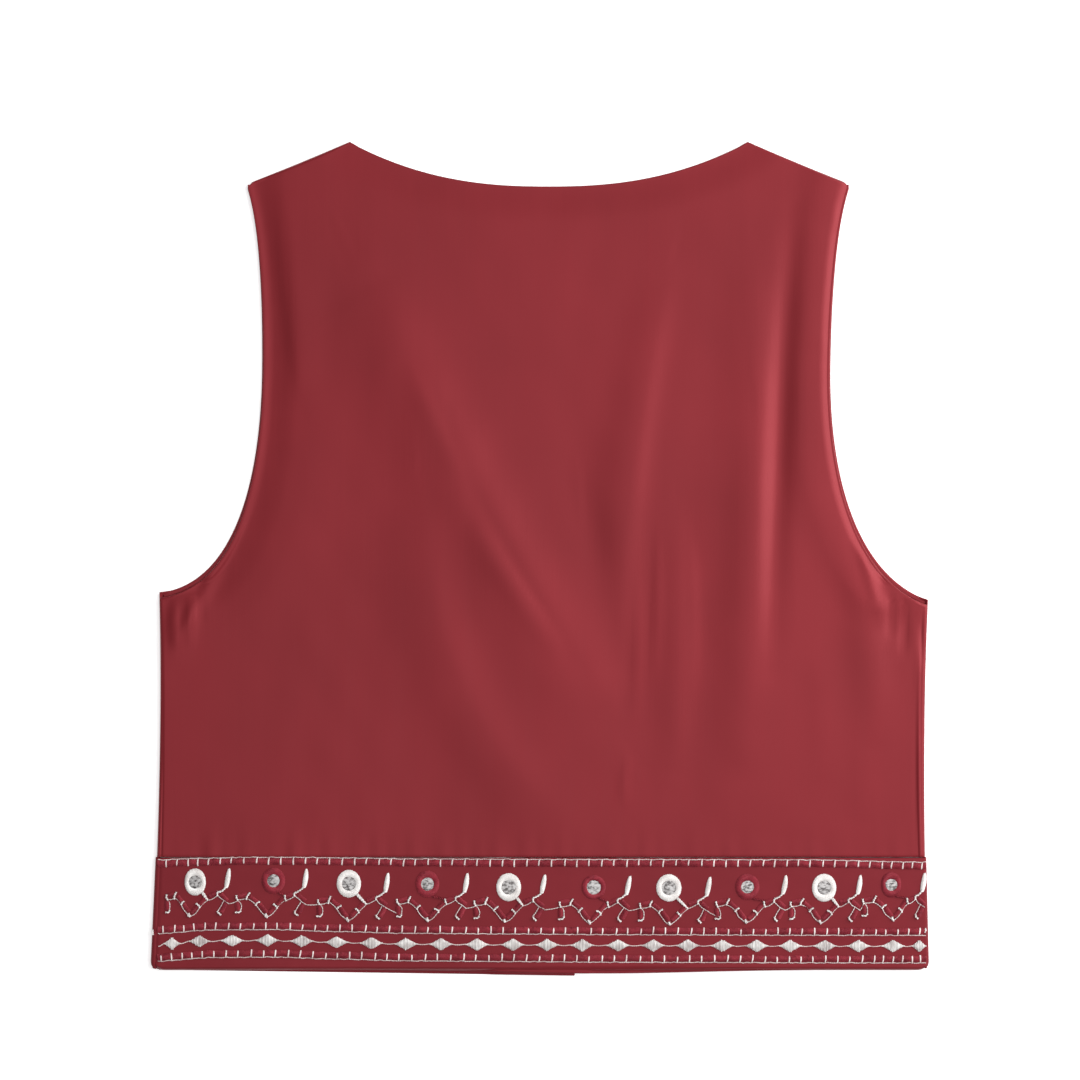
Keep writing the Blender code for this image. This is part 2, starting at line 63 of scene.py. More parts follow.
class Value:
    def __init__(self, tree, socket):
        self.tree = tree
        self.socket = socket

    def node(self, operation, *others):
        return self.tree.add("ShaderNodeMath", {"operation": operation}, dict(enumerate((self, *others))))

    def __add__(self, other):
        return self.node("ADD", other)

    def __sub__(self, other):
        return self.node("SUBTRACT", other)

    def __rsub__(self, other):
        return self.tree.add("ShaderNodeMath", {"operation": "SUBTRACT"}, {0: other, 1: self})

    def __mul__(self, other):
        return self.node("MULTIPLY", other)

    def __truediv__(self, other):
        return self.node("DIVIDE", other)

    def __pow__(self, other):
        return self.node("POWER", other)

    __radd__ = __add__
    __rmul__ = __mul__


class Tree:
    def __init__(self, nodeTree):
        self.nodeTree = nodeTree

    def add(self, kind, settings=None, inputs=None, output=0):
        node = self.nodeTree.nodes.new(kind)
        for name, setting in (settings or {}).items():
            setattr(node, name, setting)
        for key, value in (inputs or {}).items():
            self.fill(node.inputs[key], value)
        return Value(self, node.outputs[output])

    def fill(self, socket, value):
        if isinstance(value, (list, tuple)) and value and isinstance(value[0], Value):
            for one in value:
                self.nodeTree.links.new(one.socket, socket)
        elif isinstance(value, Value):
            self.nodeTree.links.new(value.socket, socket)
        else:
            socket.default_value = value

    def geometry(self, kind, output=0, mode=None, **inputs):
        # a geometry node, with the names of its inputs in camelCase
        settings = {"mode": mode} if mode else None
        inputs = {spaced(name): value for name, value in inputs.items()}
        return self.add("GeometryNode" + kind, settings, inputs, output)

    def mixColour(self, factor, first, second):
        return self.add("ShaderNodeMix", {"data_type": "RGBA"}, {0: factor, 6: first, 7: second}, 2)

    def vector(self, operation, *values):
        return self.add("ShaderNodeVectorMath", {"operation": operation}, dict(enumerate(values)))

    def combine(self, x, y, z):
        return self.add("ShaderNodeCombineXYZ", None, {0: x, 1: y, 2: z})

    def part(self, vector, axis):
        return self.add("ShaderNodeSeparateXYZ", None, {0: vector}, "XYZ".index(axis))


def newMaterial(name, colour):
    material = bpy.data.materials.new(name)
    material.use_nodes = True
    material.diffuse_color = colour
    look = Tree(material.node_tree)
    return material, look, material.node_tree.nodes["Principled BSDF"]


def objectNoise(look, scale, stretch=(1, 1, 1), detail=2.0, roughness=0.5):
    place = look.add("ShaderNodeTexCoord", None, None, "Object")
    turned = look.add("ShaderNodeMapping", None, {"Vector": place, "Scale": stretch})
    return look.add("ShaderNodeTexNoise", None,
                    {"Vector": turned, "Scale": scale, "Detail": detail, "Roughness": roughness})


def addSurface(look, shader, values, tone, limits, grain, swing, relief):
    # tone gives the colour between deep and clear, grain or else tone the roughness, and relief the bumps
    clear = look.add("ShaderNodeMapRange", None, {0: tone, 1: limits[0], 2: limits[1]})
    look.fill(shader.inputs["Base Color"], look.mixColour(clear, values["deep"], values["clear"]))
    look.fill(shader.inputs["Roughness"], values["roughness"] - swing / 2 + (grain or clear) * swing)
    look.fill(shader.inputs["Normal"], look.add("ShaderNodeBump", None, relief))
    for key, socketName in (("gloss", "Specular IOR Level"), ("shine", "Specular Tint")):
        if key in values:
            shader.inputs[socketName].default_value = values[key]


clothLook = {
    "satin": {
        "deep": (0.143, 0.0118, 0.0155, 1), "clear": (0.168, 0.0140, 0.0185, 1),
        "roughness": 0.41, "gloss": 0.75, "shine": (1.0, 0.22, 0.25, 1), "slub": 0.000045, "yarn": 0.000010,
    },
    "bandCloth": {
        "deep": (0.134, 0.0118, 0.0160, 1), "clear": (0.160, 0.0142, 0.0195, 1),
        "roughness": 0.46, "gloss": 0.55, "shine": (1.0, 0.24, 0.28, 1), "slub": 0.000004, "yarn": 0.000016,
    },
}


def clothMaterial(name):
    values = clothLook[name]
    material, look, shader = newMaterial(name, values["clear"])
    slub = objectNoise(look, 1.0, (190, 7, 40), 4.0, 0.7)  # threads of the warp that run up the vest
    yarn = objectNoise(look, 1.0, (3400, 900, 900), 1.0)
    tone = slub * 0.22 + objectNoise(look, 9.0) * 0.78
    relief = {"Strength": 1.0, "Distance": 1.0, "Height": slub * values["slub"] + yarn * values["yarn"]}
    addSurface(look, shader, values, tone, (0.36, 0.64), slub, 0.12, relief)
    return material


threadLook = {
    "ivoryThread": {"deep": (0.62, 0.57, 0.55, 1), "clear": (0.88, 0.86, 0.84, 1), "roughness": 0.55},
    "toothThread": {"deep": (0.50, 0.36, 0.35, 1), "clear": (0.84, 0.77, 0.75, 1), "roughness": 0.55},
    "pinkThread": {"deep": (0.46, 0.27, 0.27, 1), "clear": (0.82, 0.70, 0.68, 1), "roughness": 0.55},
    "lozengeThread": {"deep": (0.44, 0.38, 0.37, 1), "clear": (0.84, 0.82, 0.80, 1), "roughness": 0.55,
                      "stretch": (1, 0.08, 1)},
    "redThread": {"deep": (0.145, 0.014, 0.022, 1), "clear": (0.290, 0.031, 0.046, 1), "roughness": 0.38,
                  "shine": (1.0, 0.30, 0.34, 1)},
}


def threadMaterial(name):
    values = threadLook[name]
    material, look, shader = newMaterial(name, values["clear"])
    strand = objectNoise(look, 1500.0, values.get("stretch", (1, 1, 1)))
    tone = strand * 0.5 + objectNoise(look, 160.0) * 0.5
    relief = {"Strength": 1.0, "Distance": 0.00006, "Height": strand}
    addSurface(look, shader, values, tone, (0.34, 0.60), strand, 0.16, relief)
    return material


# the glass's colour runs between deep and clear in streaky mottles: painted reflection of darker and lighter
# surroundings
mirrorLook = {
    "face": (0.62, 0.60, 0.60, 1), "deep": (0.085, 0.077, 0.077, 1), "clear": (0.47, 0.455, 0.45, 1),
    "roughness": 0.35, "stretch": (1.0, 1.5, 1.0),
}


def mirrorMaterial():
    material, look, shader = newMaterial("mirror", mirrorLook["face"])
    # the dark and light mottles in the colour are painted reflection; the same noise also dents the glass and
    # varies its roughness
    dentsAndPaintedReflection = objectNoise(look, 500.0, mirrorLook["stretch"], 3.0)
    relief = {"Strength": 0.3, "Distance": 0.0002, "Height": dentsAndPaintedReflection}
    addSurface(look, shader, mirrorLook, dentsAndPaintedReflection, (0.40, 0.60), None, 0.22, relief)
    shader.inputs["Metallic"].default_value = 1.0
    return material


materials = {name: clothMaterial(name) for name in clothLook}
materials.update({name: threadMaterial(name) for name in threadLook})
materials["mirror"] = mirrorMaterial()


# The cut of the vest

cut = {
    "neckPoint": (0.1192, 0.4960), "shoulderTip": (0.1811, 0.4705), "shoulderDip": 0.0004,
    "necklineLow": 0.4696, "necklinePower": 2.4,
    "armholeWaist": (0.1697, 0.3600), "underarm": {-1: 0.2230, 1: 0.2185},
    "armholeHollow": {-1: (0.1842, 0.2285), 1: (0.1872, 0.2335)},
    "armholeLow": 0.2930, "armholeHigh": 0.4050, "armholeRise": (0.1735, 0.4500),
    "sideWaist": (0.2287, 0.1500), "flareAbove": 0.0014, "flareBelow": 0.0009, "flareReach": 0.075,
    "bandTop": 0.0675, "bandTopX": 0.2306, "hemX": 0.2330,
    "hemDip": 0.0021, "hemDipX": 0.040, "hemDipWidth": 0.075, "lean": 0.0054,
    "frontPeek": 0.0032, "frontEdge": 0.0211, "frontClimb": 0.0120, "climbFrom": 1.2, "climbOver": 0.9,
    "breakY": 0.3050,
    "lapelBow": 0.0060, "leftHemDrop": 0.0035, "rightHemRise": 0.0012,
    "bandCarry": {-1: 0.0034, 1: 0.0018},
}
cloth = {
    "thick": 0.0008, "wall": 0.0010, "seamGap": 0.0003, "foldRadius": 0.0015,
    "edgeLoft": 0.35, "edgeEase": 0.022, "edgeFold": 0.25,
    "hemSag": 0.65, "hemSagReach": 0.030, "hemSagX": 0.130, "hemSagWidth": 0.050,
    "overlapTop": 0.385, "overlapFade": 0.040,
    "sideCells": 60, "armholeCells": 102, "shoulderCells": 28, "neckCells": 116, "frontCells": 66,
    "bandCells": 40, "turnCells": 6, "underarmCells": 12,
    "nearEdge": (0.0005, 0.0010, 0.0015, 0.0021, 0.0029),
    "cornerReach": 0.012, "cornerTurn": 0.007, "roundReach": 0.0060, "roundIn": 0.0018,
}
fineness = 4  # points for each cell of the lines that a grid is drawn between
samples = 200  # points of a curve before it is spaced evenly
halfGap, halfThick = cloth["seamGap"] / 2, cloth["thick"] / 2
panelRows = cloth["sideCells"] + cloth["armholeCells"]
backColumns = 2 * cloth["shoulderCells"] + cloth["neckCells"]
layer = cloth["wall"] + cloth["seamGap"]
floorMiddle = cloth["wall"] / 2
foldHeight = floorMiddle + cloth["foldRadius"]
quarterTurn = cloth["foldRadius"] * pi / 2
backLie = floorMiddle + layer
loft = foldHeight + cloth["foldRadius"] - backLie

# Each crease runs from start past bend to finish. height is its crest, a trough's is negative,
# and it fades over left to its left and over right to its right, looking along it.
Crease = namedtuple("Crease", "start bend finish height left right")
mainFolds = (
    Crease((-0.105, 0.418), (-0.028, 0.262), (0.042, 0.148), 0.0034, 0.0180, 0.030),
    Crease((-0.110, 0.400), (-0.045, 0.235), (0.040, 0.105), 0.0013, 0.026, 0.045),
    Crease((-0.072, 0.285), (-0.066, 0.145), (0.028, 0.078), 0.0020, 0.0140, 0.026),
    Crease((0.018, 0.330), (0.036, 0.240), (0.054, 0.150), -0.0008, 0.012, 0.011),
    Crease((0.077, 0.418), (0.053, 0.320), (0.046, 0.175), 0.0019, 0.0085, 0.019),
    Crease((0.081, 0.275), (0.088, 0.205), (0.079, 0.115), 0.0015, 0.0070, 0.013),
    Crease((0.127, 0.428), (0.133, 0.290), (0.119, 0.112), 0.0020, 0.0105, 0.017),
    Crease((0.130, 0.310), (0.140, 0.190), (0.128, 0.075), 0.0017, 0.060, 0.030),
    Crease((0.153, 0.458), (0.141, 0.330), (0.139, 0.180), -0.0020, 0.0080, 0.0060),
    Crease((-0.157, 0.470), (-0.156, 0.430), (-0.142, 0.345), 0.0010, 0.014, 0.0050),
    Crease((0.184, 0.262), (0.200, 0.215), (0.200, 0.130), 0.0018, 0.011, 0.012),
    Crease((-0.200, 0.243), (-0.216, 0.222), (-0.227, 0.180), 0.0007, 0.0140, 0.006),
)
fineCreases = (
    Crease((-0.040, 0.272), (-0.015, 0.228), (0.018, 0.186), 0.0009, 0.0045, 0.009),
    Crease((-0.080, 0.365), (-0.062, 0.330), (-0.045, 0.290), 0.0006, 0.0040, 0.008),
    Crease((0.165, 0.190), (0.172, 0.150), (0.168, 0.110), 0.0005, 0.010, 0.008),
    Crease((0.190, 0.140), (0.196, 0.115), (0.193, 0.088), 0.0005, 0.009, 0.008),
    Crease((0.090, 0.260), (0.094, 0.215), (0.090, 0.160), 0.0005, 0.003, 0.003),
    Crease((0.070, 0.265), (0.071, 0.220), (0.068, 0.175), 0.0004, 0.003, 0.002),
    Crease((0.058, 0.240), (0.060, 0.205), (0.057, 0.150), 0.0005, 0.003, 0.003),
    Crease((0.052, 0.128), (0.050, 0.112), (0.051, 0.098), 0.0006, 0.002, 0.002),
    Crease((0.190, 0.257), (0.198, 0.236), (0.203, 0.212), 0.0011, 0.004, 0.003),
    Crease((0.210, 0.227), (0.211, 0.217), (0.210, 0.198), -0.0010, 0.0026, 0.0026),
    Crease((0.2185, 0.224), (0.2195, 0.212), (0.218, 0.188), -0.0012, 0.0027, 0.0027),
    Crease((0.227, 0.216), (0.228, 0.205), (0.230, 0.180), -0.0008, 0.0022, 0.0022),
    Crease((-0.190, 0.245), (-0.205, 0.222), (-0.219, 0.193), 0.0010, 0.004, 0.003),
    Crease((-0.209, 0.227), (-0.209, 0.216), (-0.210, 0.194), 0.0010, 0.0030, 0.0026),
    Crease((-0.203, 0.230), (-0.204, 0.222), (-0.204, 0.208), -0.0007, 0.0026, 0.0026),
    Crease((-0.218, 0.222), (-0.219, 0.212), (-0.218, 0.192), 0.0009, 0.0028, 0.0026),
    Crease((-0.045, 0.300), (-0.015, 0.240), (0.030, 0.170), -0.0005, 0.004, 0.006),
)
creaseSamples = 41


def smooth(value):
    value = np.clip(value, 0, 1)
    return value * value * (3 - 2 * value)


def bezier(points, count):
    share = np.linspace(0, 1, count)[:, None]
    lines = [np.tile(np.array(point, float), (count, 1)) for point in points]
    while len(lines) > 1:
        lines = [a * (1 - share) + b * share for a, b in zip(lines, lines[1:])]
    return lines[0]


def runAlong(line):
    return np.concatenate([[0], np.cumsum(np.linalg.norm(np.diff(line, axis=0), axis=1))])


def evenly(line, cells):
    run = runAlong(line)
    at = np.linspace(0, run[-1], cells + 1)
    return np.stack([np.interp(at, run, line[:, axis]) for axis in range(2)], axis=1)


def atShares(line, shares):
    index = shares * (len(line) - 1)
    return np.stack([np.interp(index, np.arange(len(line)), line[:, axis]) for axis in range(2)], axis=1)


def leaned(points):
    points = np.array(points, float)
    points[..., 0] += cut["lean"] * points[..., 1] / cut["neckPoint"][1]
    return points


def sideX(y):
    waistX, waistY = cut["sideWaist"]
    flare = np.where(y > waistY, cut["flareAbove"], cut["flareBelow"])
    body = waistX + flare * ((y - waistY) / cut["flareReach"]) ** 2
    band = cut["hemX"] + (cut["bandTopX"] - cut["hemX"]) * y / cut["bandTop"]
    return np.where(y > cut["bandTop"], body, band)


def shoulderLine(side, cells):
    tip = (side * cut["shoulderTip"][0], cut["shoulderTip"][1])
    neck = (side * cut["neckPoint"][0], cut["neckPoint"][1])
    middle = ((tip[0] + neck[0]) / 2, (tip[1] + neck[1]) / 2 - 2 * cut["shoulderDip"])
    return leaned(evenly(bezier((tip, middle, neck), 60), cells))


def neckline(cells):
    neckX, neckY = cut["neckPoint"]
    x = np.linspace(-neckX, neckX, 400)
    rise = (neckY - cut["necklineLow"]) * (np.abs(x) / neckX) ** cut["necklinePower"]
    return leaned(evenly(np.stack([x, cut["necklineLow"] + rise], axis=1), cells))


def panelSide(side, peek):
    seamCells, armholeCells = cloth["sideCells"] * fineness, cloth["armholeCells"] * fineness
    cornerY = cut["underarm"][side] + peek
    y = np.linspace(cut["bandTop"] + halfGap, cornerY, seamCells + 1)
    seam = np.stack([side * sideX(y), y], axis=1)
    waist = side * (cut["armholeWaist"][0] + peek / 4)
    hollowX, hollowY = cut["armholeHollow"][side]
    hollow = (side * (hollowX + peek / 2), hollowY + peek)
    tip = (side * cut["shoulderTip"][0], cut["shoulderTip"][1])
    lower = (seam[-1], hollow, (waist, cut["armholeLow"]), (waist, cut["armholeWaist"][1]))
    rise = (side * cut["armholeRise"][0], cut["armholeRise"][1])
    upper = ((waist, cut["armholeWaist"][1]), (waist, cut["armholeHigh"]), rise, tip)
    armhole = evenly(np.concatenate([bezier(lower, samples), bezier(upper, samples)[1:]]), armholeCells)
    return leaned(np.concatenate([seam, armhole[1:]]))


def bandSide(side):
    y = np.linspace(0, cut["bandTop"] - halfGap, cloth["bandCells"] * fineness + 1)
    return leaned(np.stack([side * sideX(y), y], axis=1))


def frontEdge(side):
    cells = panelRows * fineness
    inner, bow, breakY = -side * cut["frontEdge"], cut["lapelBow"], cut["breakY"]
    foot = cut["bandTop"] + halfGap
    straight = bezier(((inner, foot), (inner, breakY)), cells // 2 + 1)
    neck = (side * cut["neckPoint"][0], cut["neckPoint"][1])
    middle = ((inner + neck[0]) / 2 + side * bow, (breakY + neck[1]) / 2 - bow)
    lapel = evenly(bezier(((inner, breakY), middle, neck), samples), cells - cells // 2)
    return leaned(np.concatenate([straight, lapel[1:]]))


def nearest(line, x, y, cells=300):
    fine = evenly(line, cells)
    along = np.gradient(fine, axis=0)
    step = np.linalg.norm(along, axis=1)
    along /= step[:, None]
    index = np.hypot(x[..., None] - fine[:, 0], y[..., None] - fine[:, 1]).argmin(axis=-1)
    offX, offY = x - fine[index, 0], y - fine[index, 1]
    forward = np.clip(offX * along[index, 0] + offY * along[index, 1], -step[index], step[index])
    across = along[index, 0] * offY - along[index, 1] * offX
    away = np.sqrt(np.maximum(offX**2 + offY**2 - forward**2, 0))
    return away, runAlong(fine)[index] + forward, np.sign(across)


def creaseHeight(creases, x, y):
    total = np.zeros(np.shape(x))
    share = np.linspace(0, 1, creaseSamples)
    fading = np.sin(pi * np.clip(share, 0.02, 0.98)) ** 0.7
    for crease in creases:
        line = bezier((crease.start, crease.bend, crease.finish), creaseSamples)
        length = runAlong(line)[-1]
        away, run, side = nearest(line, x, y, creaseSamples - 1)
        width = np.where(side > 0, crease.left, crease.right)
        along = np.interp(run / length, share, fading)
        beyond = np.maximum(-run, 0) + np.maximum(run - length, 0)
        total += crease.height * along * np.exp(-((away / width) ** 2) - (beyond / width) ** 2)
    return total


def overTheOverlap(x, y):
    climb = cut["frontClimb"]
    across = smooth((cut["frontEdge"] + cut["climbFrom"] * climb - np.abs(x)) / (cut["climbOver"] * climb))
    return across * smooth((cloth["overlapTop"] + cloth["overlapFade"] - y) / cloth["overlapFade"])


def ripple(x, y, size, seed):
    # soft bumps of about the given size, the same each time for one seed
    numbers = np.random.default_rng(seed)
    total = np.zeros(np.shape(x))
    for _ in range(9):
        angle = numbers.uniform(0, 2 * pi)
        length = size * numbers.uniform(0.7, 1.6)
        total += np.sin((x * cos(angle) + y * sin(angle)) * 2 * pi / length + numbers.uniform(0, 2 * pi))
    return total / 9


def openEdges():
    start = (cloth["sideCells"] + cloth["underarmCells"]) * fineness
    return [neckline(samples)] + [panelSide(side, 0)[start:] for side in (-1, 1)]


def backLowest(x, y):
    return backLie + cloth["seamGap"] / 3 + layer * overTheOverlap(x, y)


def backHeight(x, y):
    x, y = np.asarray(x, float), np.asarray(y, float)
    openEdge = np.min([nearest(line, x, y)[0] for line in openEdges()], axis=0)
    ease = smooth(openEdge / cloth["edgeEase"])
    sagX = ((np.abs(x) - cloth["hemSagX"]) / cloth["hemSagWidth"]) ** 2
    sag = cloth["hemSag"] * np.exp(-sagX - y / cloth["hemSagReach"])
    rise = loft * (cloth["edgeLoft"] + (1 - cloth["edgeLoft"]) * ease) * (1 - sag)
    folds = creaseHeight(mainFolds, x, y) * (cloth["edgeFold"] + (1 - cloth["edgeFold"]) * ease)
    return np.maximum(backLie + rise + folds, backLowest(x, y))


def leftFrontHeight(x, y):
    climb = smooth((x + cut["frontEdge"] + cut["climbFrom"] * cut["frontClimb"]) / cut["frontClimb"])
    return floorMiddle + layer * climb


def rightFrontHeight(x, y):
    return np.full(np.shape(x), floorMiddle)


# Seams, turned edges and the small gathers beside them: what the cloth adds to its main form

finish = {
    "swellHeight": (-0.0007, 0.0017), "swellPeak": 0.0055, "swellReach": (0.030, 0.030),
    "rollHeight": 0.0005, "rollWidth": 0.0028, "rollFade": 0.0008, "rollRound": 0.0011,
    "rollGroove": 0.00030, "rollGrooveWidth": 0.0006, "rollRun": (0.050, 0.010), "frontRoll": 0.7,
    "gatherHeight": 0.00014, "gatherReach": 0.012, "gatherStep": 0.019, "gatherStart": 0.004,
    "sideSeamIn": 0.0030, "sideSeamWidth": 0.0005, "sideSeamDepth": 0.00040, "sideSeamEnd": 0.008,
    "ridge": 0.0011, "ridgeWidth": 0.0007,
    "seamDip": 0.0003, "seamReach": 0.0010, "seamGather": 0.00030, "seamGatherReach": 0.014,
    "seamGatherStep": 0.0125, "hemRoll": 0.0007, "hemRollTop": 0.0042, "hemGroove": 0.0003,
    "hemGrooveWidth": 0.0007, "hemDrop": 0.0013, "hemDropTop": 0.0017,
    "backRipple": 0.00012, "backRippleSize": 0.030, "bandQuilt": 0.00014, "bandQuiltSize": 0.013,
}


def bell(distance, width):
    return np.exp(-((distance / width) ** 2))


def rollOf(distance):
    rounded = np.sqrt(np.clip(1 - (1 - np.clip(distance / finish["rollRound"], 0, 1)) ** 2, 0, 1))
    fall = 1 - smooth((distance - finish["rollWidth"]) / finish["rollFade"])
    groove = bell(distance - finish["rollWidth"] - finish["rollFade"], finish["rollGrooveWidth"])
    return finish["rollHeight"] * rounded * fall - finish["rollGroove"] * groove


def gathersAlong(run, step, seed):
    numbers = np.random.default_rng(seed)
    total = 0
    for share in (0.8, 1.0, 1.37, 1.9):
        total = total + np.sin(2 * pi * run / (step * share) + numbers.uniform(0, 2 * pi))
    return total / 4


def backFinish(x, y):
    added = creaseHeight(fineCreases, x, y) + finish["backRipple"] * ripple(x, y, finish["backRippleSize"], 3)
    for number, line in enumerate(openEdges()[1:]):
        away, run, _ = nearest(line, x, y)
        gathers = gathersAlong(run, finish["gatherStep"], 20 + number) * bell(away, finish["gatherReach"])
        added += finish["gatherHeight"] * gathers * smooth(away / finish["gatherStart"])
        fall = 1 - smooth((away - finish["swellPeak"]) / finish["swellReach"][number])
        added += finish["swellHeight"][number] * smooth(away / finish["swellPeak"]) * fall
    side = sideX(y) - np.abs(x) - finish["sideSeamIn"]
    groove = bell(side, finish["sideSeamWidth"]) - bell(side + finish["ridge"], finish["ridgeWidth"])
    added -= finish["sideSeamDepth"] * groove * smooth((cut["underarm"][1] - y) / finish["sideSeamEnd"])
    seam = y - cut["bandTop"]
    gathers = gathersAlong(x, finish["seamGatherStep"], 31) * bell(seam, finish["seamGatherReach"])
    added -= finish["seamDip"] * bell(seam, finish["seamReach"])
    return added + finish["seamGather"] * gathers * (seam > 0)


def backRoll(x, y):
    # the turned edge stands up from its seam only near the underarms
    total = np.zeros(np.shape(x))
    for line, reach in zip(openEdges()[1:], finish["rollRun"]):
        away, run, _ = nearest(line, x, y)
        total += rollOf(away) * (1 - smooth(run / reach))
    return total


def bandFinish(x, y):
    added = -finish["seamDip"] * bell(cut["bandTop"] - y, finish["seamReach"])
    up = np.maximum(y, 0)
    hem = np.clip(up / finish["hemRollTop"], 0, 1)
    added = added + finish["hemRoll"] * np.sin(pi * hem) ** 0.8
    added = added - finish["hemDrop"] * (1 - smooth(up / finish["hemDropTop"]))
    added = added - finish["hemGroove"] * bell(y - finish["hemRollTop"], finish["hemGrooveWidth"])
    added = added + finish["bandQuilt"] * ripple(x, y, finish["bandQuiltSize"], 5)
    return np.maximum(added, backLowest(x, y) - backHeight(x, y))


def nothing(x, y):
    return np.zeros(np.shape(x))


def frontRoll(side):
    line = panelSide(side, cut["frontPeek"])[cloth["sideCells"] * fineness :]
    def roll(x, y):
        return finish["frontRoll"] * rollOf(nearest(line, x, y)[0])
    return roll


# Pieces of cloth, each a thin closed shell between its four edges

# turned is 1 where an edge turns round a fold and 0 where it is free, start is the run along the
# cloth at which the piece starts there, and corners are the indices at which the line breaks
Edge = namedtuple("Edge", "line turned start corners")


def insetAt(run):
    angle = np.minimum(abs(run) / cloth["foldRadius"], pi / 2)
    return cloth["foldRadius"] * (1 - np.cos(angle)) + max(abs(run) - quarterTurn, 0)


def edgeInset(edge):
    return halfThick if edge.start is None else insetAt(max(edge.start, quarterTurn))


def outwardOf(line, turn):
    along = np.gradient(line, axis=0)
    along /= np.linalg.norm(along, axis=1)[:, None]
    return turn * np.stack([-along[:, 1], along[:, 0]], axis=1)


def cornerShift(first, firstInset, second, secondInset):
    # how far a corner moves in where its two edges move in by their own insets
    return np.linalg.solve(np.array([first, second]), np.array([firstInset, secondInset]))


def insetsOf(line, turn, inset, corners, before, after):
    # the way each point of an edge moves in, easing into its corners. before and after are the
    # outward direction and the inset of the edges that meet its ends.
    marks = [0, *corners, len(line) - 1]
    parts = [outwardOf(line[a : b + 1], turn) for a, b in zip(marks, marks[1:])]
    shift = np.zeros(np.shape(line))
    run = runAlong(line)
    for number, (a, b) in enumerate(zip(marks, marks[1:])):
        normals = parts[number]
        start = before if number == 0 else (parts[number - 1][-1], inset)
        end = after if number == len(parts) - 1 else (parts[number + 1][0], inset)
        atStart = cornerShift(normals[0], inset, *start) - normals[0] * inset
        atEnd = cornerShift(normals[-1], inset, *end) - normals[-1] * inset
        fromStart = 1 - smooth((run[a : b + 1] - run[a]) / cloth["cornerReach"])
        fromEnd = 1 - smooth((run[b] - run[a : b + 1]) / cloth["cornerReach"])
        shift[a : b + 1] = normals * inset + atStart * fromStart[:, None] + atEnd * fromEnd[:, None]
    return shift


def gridShares(cells, length, closeStart, closeEnd):
    even = np.linspace(0, 1, cells + 1)
    near = np.array(cloth["nearEdge"]) / length
    clear = near[-1] + 0.4 / cells
    low = clear if closeStart else 0
    high = 1 - clear if closeEnd else 1
    kept = even[(even >= low) & (even <= high)]
    parts = [kept, [0, 1]]
    parts += [near] if closeStart else []
    parts += [1 - near] if closeEnd else []
    return np.unique(np.concatenate(parts))


def sampled(edge, shares):
    place = shares * (len(edge.line) - 1)
    turned = np.interp(place, np.arange(len(edge.line)), edge.turned)
    corners = tuple(int(np.abs(place - corner).argmin()) for corner in edge.corners)
    return Edge(atShares(edge.line, shares), turned, edge.start, corners)


def facing(points):
    normals = np.cross(np.gradient(points, axis=1), np.gradient(points, axis=0))
    return normals / np.linalg.norm(normals, axis=2)[:, :, None]


def turnedStrip(points, shift, edge, onTop):
    if edge.start is None or edge.start >= quarterTurn:
        return np.zeros((0, *points.shape))
    steps = ceil((quarterTurn - edge.start) / quarterTurn * cloth["turnCells"])
    turned = edge.turned[:, None]
    radius = cloth["foldRadius"]
    flatHeight = foldHeight + onTop * radius
    strip = []
    for step in range(steps):
        run = edge.start + (quarterTurn - edge.start) * step / steps
        angle = np.clip(run / radius, -pi / 2, pi / 2)
        free = radius * step / steps + halfThick * (1 - step / steps)
        inset = insetAt(run) * turned + free * (1 - turned)
        level = points[:, :2] + shift * (1 - inset / radius)
        settle = (points[:, 2:] - flatHeight) * max(np.sin(angle), 0) ** 2
        z = foldHeight + onTop * radius * np.sin(angle) + settle
        z = z * turned + points[:, 2:] * (1 - turned)
        strip.append(np.concatenate([level, z], axis=1))
    return np.array(strip)


def shellMesh(name, middle, added, material):
    # a closed shell round the middle of the cloth, with a rounded rim; added thickens its upper face
    rows, columns = middle.shape[:2]
    normals = facing(middle)
    top = middle + normals * (halfThick + added[..., None])
    under = middle - normals * halfThick
    number = np.arange(rows * columns).reshape(rows, columns)
    count = rows * columns
    a, b = number[:-1, :-1].ravel(), number[:-1, 1:].ravel()
    c, d = number[1:, 1:].ravel(), number[1:, :-1].ravel()
    faces = [np.stack([a, b, c, d], axis=1), np.stack([a, d, c, b], axis=1) + count]
    rim = np.array([*number[0, :], *number[1:, -1], *number[-1, -2::-1], *number[-2:0:-1, 0]])
    rimMiddle, rimNormal = middle.reshape(-1, 3)[rim], normals.reshape(-1, 3)[rim]
    along = np.roll(rimMiddle, -1, axis=0) - np.roll(rimMiddle, 1, axis=0)
    outward = np.cross(along, rimNormal)
    outward /= np.linalg.norm(outward, axis=1)[:, None]
    vertices = [top.reshape(-1, 3), under.reshape(-1, 3)]
    loops = [rim]
    for step, angle in enumerate((pi / 4, 0, -pi / 4)):
        vertices.append(rimMiddle + outward * halfThick * cos(angle) + rimNormal * halfThick * sin(angle))
        loops.append(2 * count + step * len(rim) + np.arange(len(rim)))
    loops.append(rim + count)
    for upper, lower in zip(loops, loops[1:]):
        faces.append(np.stack([upper, lower, np.roll(lower, -1), np.roll(upper, -1)], axis=1))
    return addMesh(name, np.concatenate(vertices) + vestOrigin, np.concatenate(faces), material)


def placed(name, data):
    thing = bpy.data.objects.new(name, data)
    bpy.context.scene.collection.objects.link(thing)
    return thing


def addMesh(name, vertices, faces, material, flat=False):
    mesh = bpy.data.meshes.new(name)
    mesh.from_pydata([tuple(map(float, v)) for v in vertices], [], [tuple(map(int, f)) for f in faces])
    mesh.validate()
    if flat:
        mesh.shade_flat()
    else:
        mesh.shade_smooth()
    mesh.materials.append(material)
    return placed(name, mesh)


